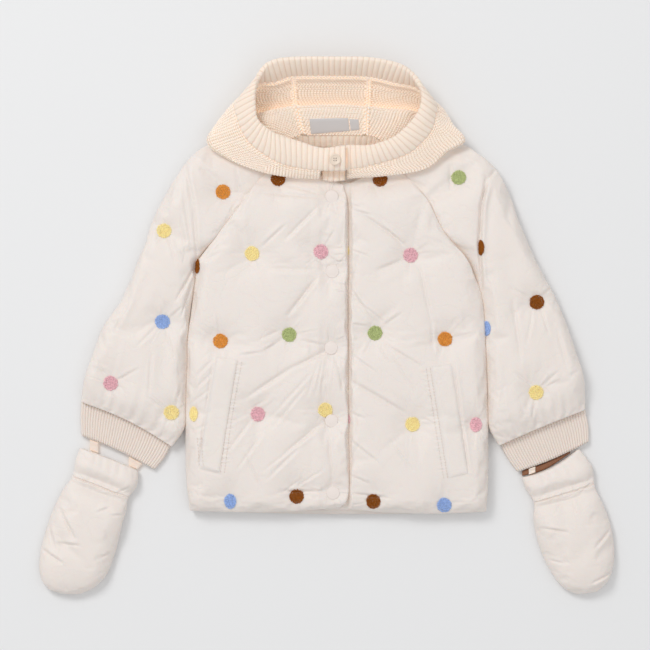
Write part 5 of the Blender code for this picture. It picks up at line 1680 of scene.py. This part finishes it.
def painted_fold_glow(tree: NodeTree, shader: Node, colour: str, strength: float, reach: float) -> None:
    """A painted glow: warm emission in the cloth's narrow folds and seams, where little open air is near, standing in
    for light that comes through the cloth and bounces into them.

    Args:
        tree: The material's node tree.
        shader: Its Principled node.
        colour: The painted glow's colour as sRGB.
        strength: The glow in the narrowest folds.
        reach: How near the other side of a fold is, in millimetres.
    """
    room = add_node(tree, "ShaderNodeAmbientOcclusion", {"Distance": reach * MM}, samples=4)
    shut = remap(tree, room.outputs["AO"], 0.6, 0.1, 0.0, strength)
    shader.inputs["Emission Color"].default_value = linear(colour)
    tree.links.new(shut, shader.inputs["Emission Strength"])


def tint(tree: NodeTree, shader: Node, share: NodeSocket, low: tuple, high: tuple) -> None:
    """Colours the surface from low, where the share is 0, to high, where it is 1."""
    mixed = add_node(tree, "ShaderNodeMixRGB", {"Fac": share, "Color1": low, "Color2": high})
    tree.links.new(mixed.outputs[0], shader.inputs["Base Color"])


THROUGH = {"Subsurface Radius": (1.0, 0.6, 0.4), "Subsurface Scale": 0.003}  # light in pale fibres
COTTON = {
    "Roughness": 0.95, "IOR": 1.5, "Sheen Weight": 0.3, "Sheen Roughness": 0.6, "Subsurface Weight": 0.15, **THROUGH,
}
FUZZ = 900.0  # fineness of the loose fibres, in waves to the metre


@dataclass(frozen=True)
class Finish:
    """A material. Each kind has its own shader inputs and its own surface."""

    name: str
    colour: str
    inputs = {}

    def make(self) -> Material:
        """The material."""
        made = bpy.data.materials.new(self.name)
        made.use_nodes = True
        shader = made.node_tree.nodes["Principled BSDF"]
        for key, value in {"Base Color": linear(self.colour), **self.inputs}.items():
            shader.inputs[key].default_value = value
        self.surface(made.node_tree, shader)
        return made

    def surface(self, tree: NodeTree, shader: Node) -> None:
        """Adds what is seen from close by."""
        raise NotImplementedError


@dataclass(frozen=True)
class SatinNylon(Finish):
    """Down-proof satin nylon: a soft, broken sheen, and small crinkles from washing and wear."""

    name: str = "satin nylon taffeta"
    colour: str = "#EAE1DA"
    inputs = {
        "Roughness": 0.54, "IOR": 1.5, "Specular IOR Level": 0.35, "Sheen Weight": 0.1, "Sheen Roughness": 0.4,
        "Subsurface Weight": 0.12, **THROUGH,
    }

    def surface(self, tree: NodeTree, shader: Node) -> None:
        """Crinkles, sharp creases and grain, and a painted glow in narrow folds."""
        # crinkles about 8 mm across, and a grain drawn at 1 mm because the real weave is finer than a pixel
        crinkle, grain = noise(tree, 120.0, 3.0, 0.6), noise(tree, 1000.0, 1.0)
        # sharp little creases, where a slow noise crosses its middle, broken up by another
        level = add_node(tree, "ShaderNodeMath", {0: noise(tree, 42.0, 1.5, 0.7), 1: 0.5}, operation="SUBTRACT")
        away = add_node(tree, "ShaderNodeMath", {0: level.outputs[0]}, operation="ABSOLUTE")
        width = remap(tree, noise(tree, 30.0), 0.45, 0.62, 0.001, 0.03)
        crease = remap(tree, away.outputs[0], 0.0, width)
        bumps(tree, shader, (crease, 0.35, 0.4), (crinkle, 1.2, 0.3), (grain, 0.08, 0.3))
        # painted glow: faint warm emission in the satin's narrow folds and seams
        painted_fold_glow(tree, shader, "#E7D2C0", 0.1, 5.0)


class Stitch(Enum):
    """Knitted structures, each with the width and height of one stitch in millimetres."""

    PURL = (3.2, 2.1)
    RIB = (2.7, 2.4)


@dataclass(frozen=True)
class CottonKnit(Finish):
    """Combed cotton knit: matt and fuzzy, with each stitch round, and the gaps between them painted warm and dark as
    shade.
    """

    colour: str = "#F0E2D3"
    stitch: Stitch = Stitch.PURL
    # painted shade: the warm dark colour of the gaps between stitches and of the rib furrows
    painted_gap_shade: str = "#DCBFA0"
    ribbed: bool = False
    # a painted glow in narrow folds: its strength, how near the fold's other side is in millimetres, and its colour
    glow: float = 0.3
    reach: float = 12.0
    glow_colour: str = "#EDCAA8"
    inputs = COTTON

    def surface(self, tree: NodeTree, shader: Node) -> None:
        """Stitches or ribs, fuzz, painted shade in the gaps and furrows, and a painted glow in narrow folds."""
        cloth = add_node(tree, "ShaderNodeUVMap", uv_map="cloth").outputs["UV"]
        wide, high = self.stitch.value
        # the rows stand out more than the gaps within a row
        wales = add_node(tree, "ShaderNodeMapping", {"Vector": cloth, "Scale": (2.0, 1.0, 1.0)})
        bricks = add_node(
            tree, "ShaderNodeTexBrick",
            {
                "Vector": wales.outputs["Vector"], "Scale": 1.0, "Brick Width": 2 * wide, "Row Height": high,
                "Color1": (1, 1, 1, 1), "Color2": (0.86, 0.86, 0.86, 1),
                "Mortar": (0, 0, 0, 1), "Mortar Size": 0.45, "Mortar Smooth": 1.0,
            },
            offset=0.5,
        )
        raised = bricks.outputs["Color"]
        if self.ribbed:
            relief = add_node(tree, "ShaderNodeAttribute", attribute_name="relief")
            raised = remap(tree, relief.outputs["Fac"], 0.0, 0.6)
        # painted shade: the gaps and the furrows take the darker, warmer colour
        tint(tree, shader, raised, linear(self.painted_gap_shade), linear(self.colour))
        # painted glow in narrow folds
        painted_fold_glow(tree, shader, self.glow_colour, self.glow, self.reach)
        bumps(tree, shader, (bricks.outputs["Color"], 0.4, 0.4), (noise(tree, FUZZ), 0.2, 0.3))


@dataclass(frozen=True)
class CottonYarn(Finish):
    """Soft cotton yarn of the single raised loops: matt, fuzzy, paler than the painted shade of the gaps between them.
    """

    name: str = "soft cotton yarn"
    colour: str = "#FBEFE2"
    inputs = COTTON

    def surface(self, tree: NodeTree, shader: Node) -> None:
        """Fuzz, and a painted glow in narrow folds."""
        bumps(tree, shader, (noise(tree, FUZZ), 0.2, 0.4))
        # a strong painted glow in narrow folds and between the loops
        painted_fold_glow(tree, shader, "#EDCDB0", 0.48, 12.0)


@dataclass(frozen=True)
class PileThread(Finish):
    """Soft polyester embroidery thread: matt pile whose loops catch light unevenly."""

    shade: float = 0.84
    inputs = {"Roughness": 0.85, "IOR": 1.5, "Specular IOR Level": 0.3}

    def surface(self, tree: NodeTree, shader: Node) -> None:
        """Uneven light."""
        uneven = remap(tree, noise(tree, 700.0), 0.36, 0.64)
        shade = tuple(c * self.shade for c in linear(self.colour)[:3]) + (1.0,)
        light = tuple(min(1.0, c * 1.1) for c in linear(self.colour)[:3]) + (1.0,)
        tint(tree, shader, uneven, shade, light)


@dataclass(frozen=True)
class SewingThread(Finish):
    """Spun polyester sewing thread in the shell's colour: fine, with a slight lustre."""

    name: str = "spun polyester thread"
    colour: str = "#DECFC3"
    inputs = {"Roughness": 0.6, "IOR": 1.55}

    def surface(self, tree: NodeTree, shader: Node) -> None:
        """Twist."""
        place = add_node(tree, "ShaderNodeTexCoord").outputs["Object"]
        twist = add_node(tree, "ShaderNodeTexWave", {"Vector": place, "Scale": 300.0}, bands_direction="DIAGONAL")
        bumps(tree, shader, (twist.outputs["Fac"], 0.1, 0.3))


@dataclass(frozen=True)
class MouldedResin(Finish):
    """Moulded polyester resin of snaps and button: smooth, slightly pearly, with faint flow marks."""

    colour: str = "#EADFD8"
    inputs = {"Roughness": 0.36, "IOR": 1.5, "Coat Weight": 0.12, "Coat Roughness": 0.2}

    def surface(self, tree: NodeTree, shader: Node) -> None:
        """Flow marks."""
        bumps(tree, shader, (noise(tree, 220.0, 1.0), 0.15, 0.15))


@dataclass(frozen=True)
class WovenTape(Finish):
    """Woven polyester label tape: grey, fine-ribbed across, slightly lustrous."""

    inputs = {"Roughness": 0.62, "IOR": 1.53}

    def surface(self, tree: NodeTree, shader: Node) -> None:
        """Ribs."""
        cloth = add_node(tree, "ShaderNodeUVMap", uv_map="cloth").outputs["UV"]
        # ribs drawn 1 mm apart, because the real ones are finer than a pixel
        inputs = {"Vector": cloth, "Scale": 0.5, "Distortion": 0.3}
        ribs = add_node(tree, "ShaderNodeTexWave", inputs, bands_direction="Y")
        bumps(tree, shader, (ribs.outputs["Fac"], 0.15, 0.4))


@dataclass(frozen=True)
class StudioPaper(Finish):
    """The pale, matt surface that the garment lies on."""

    name: str = "pale studio surface"
    colour: str = "#E8E8E8"
    inputs = {"Roughness": 0.9, "IOR": 1.45}

    def surface(self, tree: NodeTree, shader: Node) -> None:
        """Tooth."""
        bumps(tree, shader, (noise(tree, 300.0), 0.05, 0.15))


# ---- the garment's sub-assemblies -----------------------------------------------------
def dress(piece: Object, finish: Material) -> None:
    """Gives a piece its finish, ties it to the garment and logs it."""
    if not piece.data.materials:
        piece.data.materials.append(finish)
    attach(piece, BODY)
    log.info("%s: %d points, %d faces", piece.name, len(piece.data.vertices), len(piece.data.polygons))


@dataclass
class Shell:
    """Back, fronts, sleeves and mittens, filled and creased."""

    finish: Material
    filling: Filling = Filling()
    creases: CreaseSet = CreaseSet()

    def build(self) -> dict[str, Object]:
        """Makes the padded pieces.

        Returns:
            The finished pieces by the name of the node they stand for.
        """
        pads = [
            BackPanel().pad(),
            FrontPanel("front_right", SIDE_RIGHT, RAGLAN_RIGHT, PLACKET_UPPER, True).pad(),
            FrontPanel("front_left", SIDE_LEFT, RAGLAN_LEFT, PLACKET_LOWER, False).pad(),
            Sleeve("sleeve_right", SLEEVE_RIGHT, CUFF_RIGHT[0][4]).pad(),
            Sleeve("sleeve_left", SLEEVE_LEFT, CUFF_LEFT[0][4]).pad(),
            Mitten("mitten_right", MITTEN_RIGHT).pad(),
            Mitten("mitten_left", MITTEN_LEFT).pad(),
        ]
        for pad in pads:
            pad.build()
        self.filling.fill([pad for pad in pads if pad.name != "back"])
        for pad in pads:
            pad.finish(self.creases)
            dress(pad.piece, self.finish)
            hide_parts(pad.name)
        return {pad.name: pad.piece for pad in pads}


@dataclass
class Knitwear:
    """Hood, brim, neck ribs and cuffs."""

    purl: Material
    rib: Material
    inner_rib: Material
    fine_rib: Material

    def build(self) -> dict[str, Object]:
        """Makes the knitted pieces.

        Returns:
            The pieces by the name of the node they stand for.
        """
        first, right_seam, left_seam, last = HOOD_JOINS
        # each with its cut size in metres and how it is held
        panels = (
            (HoodPanel("hood_side_right", first, right_seam, 90), (0.140, 0.090), "gathered", self.purl),
            (HoodPanel("hood_center", right_seam, left_seam, 36), (0.078, 0.080), "laid", self.purl),
            (HoodPanel("hood_side_left", left_seam, last, 90), (0.140, 0.090), "gathered", self.purl),
            (Brim(), (0.520, 0.028), "stretched", self.rib),
            (RibStrip("neck_rib", NECK_RIB, 3.5), (0.096, 0.0135), "stretched", self.inner_rib),
            (RibStrip("neck_rib_end", NECK_RIB_END), (0.024, 0.0120), "laid", self.rib),
            (Cuff("cuff_right", CUFF_RIGHT), (0.196, 0.033), "stretched", self.fine_rib),
            (Cuff("cuff_left", CUFF_LEFT), (0.190, 0.034), "stretched", self.fine_rib),
        )
        made = {}
        for panel, flat, held, finish in panels:
            piece = panel.build()
            dress(piece, finish)
            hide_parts(panel.name)
            made[panel.name] = piece
        return made


@dataclass
class Trims:
    """Welts, label, size tab, tapes, lining, snaps and button."""

    shell: Material
    knit: Material
    resin: Material
    pearl: Material
    tape: Material
    lining: Material

    def build(
        self, shell: dict[str, Object], knitwear: dict[str, Object]
    ) -> dict[str, Object]:
        """Makes the trims on the finished cloth.

        Args:
            shell: The padded pieces.
            knitwear: The knitted pieces.

        Returns:
            The pieces by the name of the node they stand for.
        """
        made: dict[str, Object] = {}
        fronts = Ground(shell["front_right"], shell["front_left"])
        nape = Ground(knitwear["hood_center"])
        on_fronts = (fronts, self.shell, "shell")
        on_nape = (nape, self.tape, "label")
        # each with its cut size in metres, and its area where that isn't the whole of it
        welt = (60, 14, 0.1, 1.2, 0.25, 1)
        label = LaidPiece("label", LABEL, 10, 28, 0.4, TAPE / 2, soften=2)
        size_tab = LaidPiece("size_tab", SIZE_TAB, 8, 8, 0.6, TAPE / 2, soften=2)
        laid = (
            (LaidPiece("pocket_welt_right", WELT_RIGHT, *welt, -1), (0.0225, 0.110), "front_right", on_fronts),
            (LaidPiece("pocket_welt_left", WELT_LEFT, *welt, 1), (0.0205, 0.111), "front_left", on_fronts),
            (label, (0.040, 0.014), "hood_center", on_nape),
            (size_tab, (0.0105, 0.0102, 0.0001), "hood_center", on_nape),
        )
        for part, flat, rests_on, (ground, finish, slot) in laid:
            self.add(part.name, part.build(ground), flat, finish, slot, rests_on, made)
        tab_cuts = ((0.0105, 0.0105, 0.0001), (0.0135, 0.0101, 0.00011), (0.0101, 0.0101, 0.000055))
        flats = [
            (FlatPiece(f"mitten_tab_{number}", *row, curl=0.5), flat, self.knit, "knit")
            for number, (row, flat) in enumerate(zip(MITTEN_TABS, tab_cuts, strict=True), 1)
        ]
        flats.append((FlatPiece("mitten_lining_left", *LINING_STRIP), (0.053, 0.0101, 0.00034), self.lining, "lining"))
        for part, flat, finish, slot in flats:
            self.add(part.name, part.build(), flat, finish, slot, "back", made)
        for number, spot in enumerate(SNAPS, 1):
            self.add_turned(f"snap_{number}", SNAP_SHAPE, spot, fronts, SNAP_RADIUS - 1, self.resin, made)
        brim = Ground(knitwear["hood_brim"])
        self.add_turned("hood_button", BUTTON_SHAPE, BUTTON_AT, brim, BUTTON_RADIUS - 1, self.pearl, made)
        return made

    def add(
        self, name: str, piece: Object, flat: tuple[float, ...], finish: Material,
        slot: str, rests_on: str, made: dict,
    ) -> None:
        """Gives one flat trim its finish, hides its part and keeps it."""
        dress(piece, finish)
        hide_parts(name)
        made[name] = piece

    def add_turned(
        self, name: str, profile: tuple, spot: tuple[float, float], ground: Ground, reach: float,
        finish: Material, made: dict,
    ) -> None:
        """Sets one turned trim on the highest point under it."""
        spots = [spot, *ring_points(spot, reach / 2, 16), *ring_points(spot, reach, 16)]
        height = float(np.mean(sorted(ground.height(s) for s in spots)[-12:]))
        piece = Turned(f"{name}_resin", profile, spot, height - 0.2).build()
        dress(piece, finish)
        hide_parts(name)
        made[name] = piece


# half profiles, radius and height, from the underside round to the middle of the top
SNAP_SHAPE = (
    (0, 0), (5.9, 0), (6.35, 0.2), (6.5, 0.5), (6.42, 0.85), (6.1, 1.05), (5.7, 1.1), (5.3, 1.02),
    (4.6, 1.1), (3.4, 1.32), (1.8, 1.46), (0, 1.5),
)
BUTTON_SHAPE = (
    (0, 0), (4.4, 0), (5.3, 0.4), (5.8, 1.1), (5.75, 1.7), (5.4, 2.15), (4.9, 2.3), (4.4, 2.2), (4.0, 1.85),
    (3.6, 1.6), (2.4, 1.5), (0, 1.48),
)


@dataclass(frozen=True)
class ButtonSewing:
    """Thread crosses of the sewn hood button, and dark discs in its holes that paint the shade inside them."""

    hole_ring: float = 1.55
    hole_radius: float = 0.62

    def build(
        self, net: ThreadNet, button: Object, thread: Material, shade: Material
    ) -> list[Object]:
        """The holes' painted shade and the thread across them.

        Args:
            net: Lays the thread.
            button: The finished button.
            thread: The thread's material.
            shade: The dark material of the discs that paint the shade inside the holes.

        Returns:
            The new objects.
        """
        top = Ground(button).height(BUTTON_AT)
        spots = ring_points(BUTTON_AT, self.hole_ring, 4, math.pi / 4)
        profile = ((0, -0.3), (self.hole_radius, -0.3), (self.hole_radius, 0.1), (0, 0.1))
        # dark discs in the holes: painted shade
        holes = [Turned(f"button_hole_{k}", profile, tuple(spot), top, 12).build() for k, spot in enumerate(spots, 1)]
        start, end = (to_world(spots[k::2], top + 0.3) for k in (0, 1))
        sewn = net.lay("button_thread", (start + end) / 2, unit(end - start), 3.0, 0.8, thread)
        for hole in holes:
            hole.data.materials.append(shade)
        return [*holes, sewn]


# ---- surroundings -----------------------------------------------------------------------
@dataclass(frozen=True)
class Studio:
    """A pale floor, soft daylight from the upper left, and a camera straight above."""

    view_width: float = 650.0
    lens: float = 150.0
    sensor: float = 36.0
    focus_height: float = 15.0

    def build(self, paper: Material) -> None:
        """Adds floor, lights and camera.

        Args:
            paper: The floor's material.
        """
        floor = make_object("floor", np.array([(-3, -3, 0), (3, -3, 0), (3, 3, 0), (-3, 3, 0)], float), [[0, 1, 2, 3]])
        floor.data.materials.append(paper)
        if floor.data.polygons[0].normal.z < 0:
            floor.data.flip_normals()
        self.light("key", (-1.45, 1.75, 2.9), 1.2, 47.0)
        self.light("fill", (0.6, -0.2, 2.6), 2.4, 9.5)
        world = bpy.data.worlds.new("daylight")
        world.use_nodes = True
        sky = world.node_tree.nodes["Background"].inputs
        sky["Color"].default_value, sky["Strength"].default_value = (0.985, 0.99, 1.0, 1), 0.64
        bpy.context.scene.world = world
        bpy.context.scene.view_settings.view_transform = "Standard"
        eye = bpy.data.cameras.new("overhead")
        eye.lens, eye.sensor_width = self.lens, self.sensor
        camera = add_object("overhead", eye)
        centre = to_world(np.array([325.0, 325.0]), self.focus_height)
        camera.location = (centre[0], centre[1], centre[2] + self.view_width * MM * self.lens / self.sensor)
        bpy.context.scene.camera = camera

    def light(self, name: str, place: tuple[float, float, float], size: float, power: float) -> None:
        """A square lamp that looks at the middle of the garment."""
        lamp = bpy.data.lights.new(name, "AREA")
        lamp.size, lamp.energy = size, power
        made = add_object(name, lamp)
        made.location = place
        made.rotation_euler = (-Vector(place)).to_track_quat("-Z", "Y").to_euler()


THREAD_SHADES = {Thread.YELLOW: 0.95}  # the pale thread is shaded less than the others


def main() -> None:
    """Builds the garment's finished look."""
    nylon = SatinNylon().make()
    # the knits' gap colours are painted shade, and their glow settings are painted glows in narrow folds
    purl = CottonKnit("garter knit cotton").make()
    rib = CottonKnit("rib knit cotton", "#F9E8D8", Stitch.RIB, "#EBD3BE", True, 0.3, 10.0).make()
    # paler than the brim's rib and with a strong painted glow: painted light on the neck rib, which lies in the brim's
    # shade
    inner_rib = CottonKnit(
        "rib knit cotton inside the hood", "#FDEEDF", Stitch.RIB, "#EED6C0", True, 0.9, 18.0, "#F0DCC8"
    ).make()
    fine_rib = CottonKnit("fine rib knit cotton", "#EBDED4", Stitch.RIB, "#DCCABD", True, 0.05, 4.0).make()
    yarn = CottonYarn().make()
    binding = CottonYarn("peach cotton tape", "#EFDFD2").make()
    resin = MouldedResin("moulded polyester resin").make()
    pearl = MouldedResin("cream polyester resin", "#E9D8C6").make()
    tape = WovenTape("woven polyester tape", "#CBC6C4").make()
    lining = WovenTape("brushed brown lining", "#8A5A3C").make()
    # the dark of the button holes: painted shade
    shade = MouldedResin("shaded resin", "#8D7B6E").make()
    sewing = SewingThread().make()

    shell = Shell(nylon).build()
    knitwear = Knitwear(purl, rib, inner_rib, fine_rib).build()
    trims = Trims(nylon, binding, resin, pearl, tape, lining).build(shell, knitwear)
    net = ThreadNet()
    threads = {
        colour: PileThread(f"{colour.name.lower()} pile thread", colour.value, THREAD_SHADES.get(colour, 0.84)).make()
        for colour in Thread
    }
    for dots in Embroidery().build(net, shell, threads):
        dress(dots, threads[Thread.ORANGE])
    sewn = (shell["front_right"], shell["front_left"], trims["pocket_welt_right"], trims["pocket_welt_left"])
    dress(Topstitch().build(net, Ground(*sewn), sewing), sewing)
    dress(SeamRidge().build(net, yarn), yarn)
    dress(PurlStitches().build(net, yarn), yarn)
    for part in ButtonSewing().build(net, trims["hood_button"], sewing, shade):
        dress(part, sewing)
    Studio().build(StudioPaper().make())


if __name__ == "__main__":
    main()
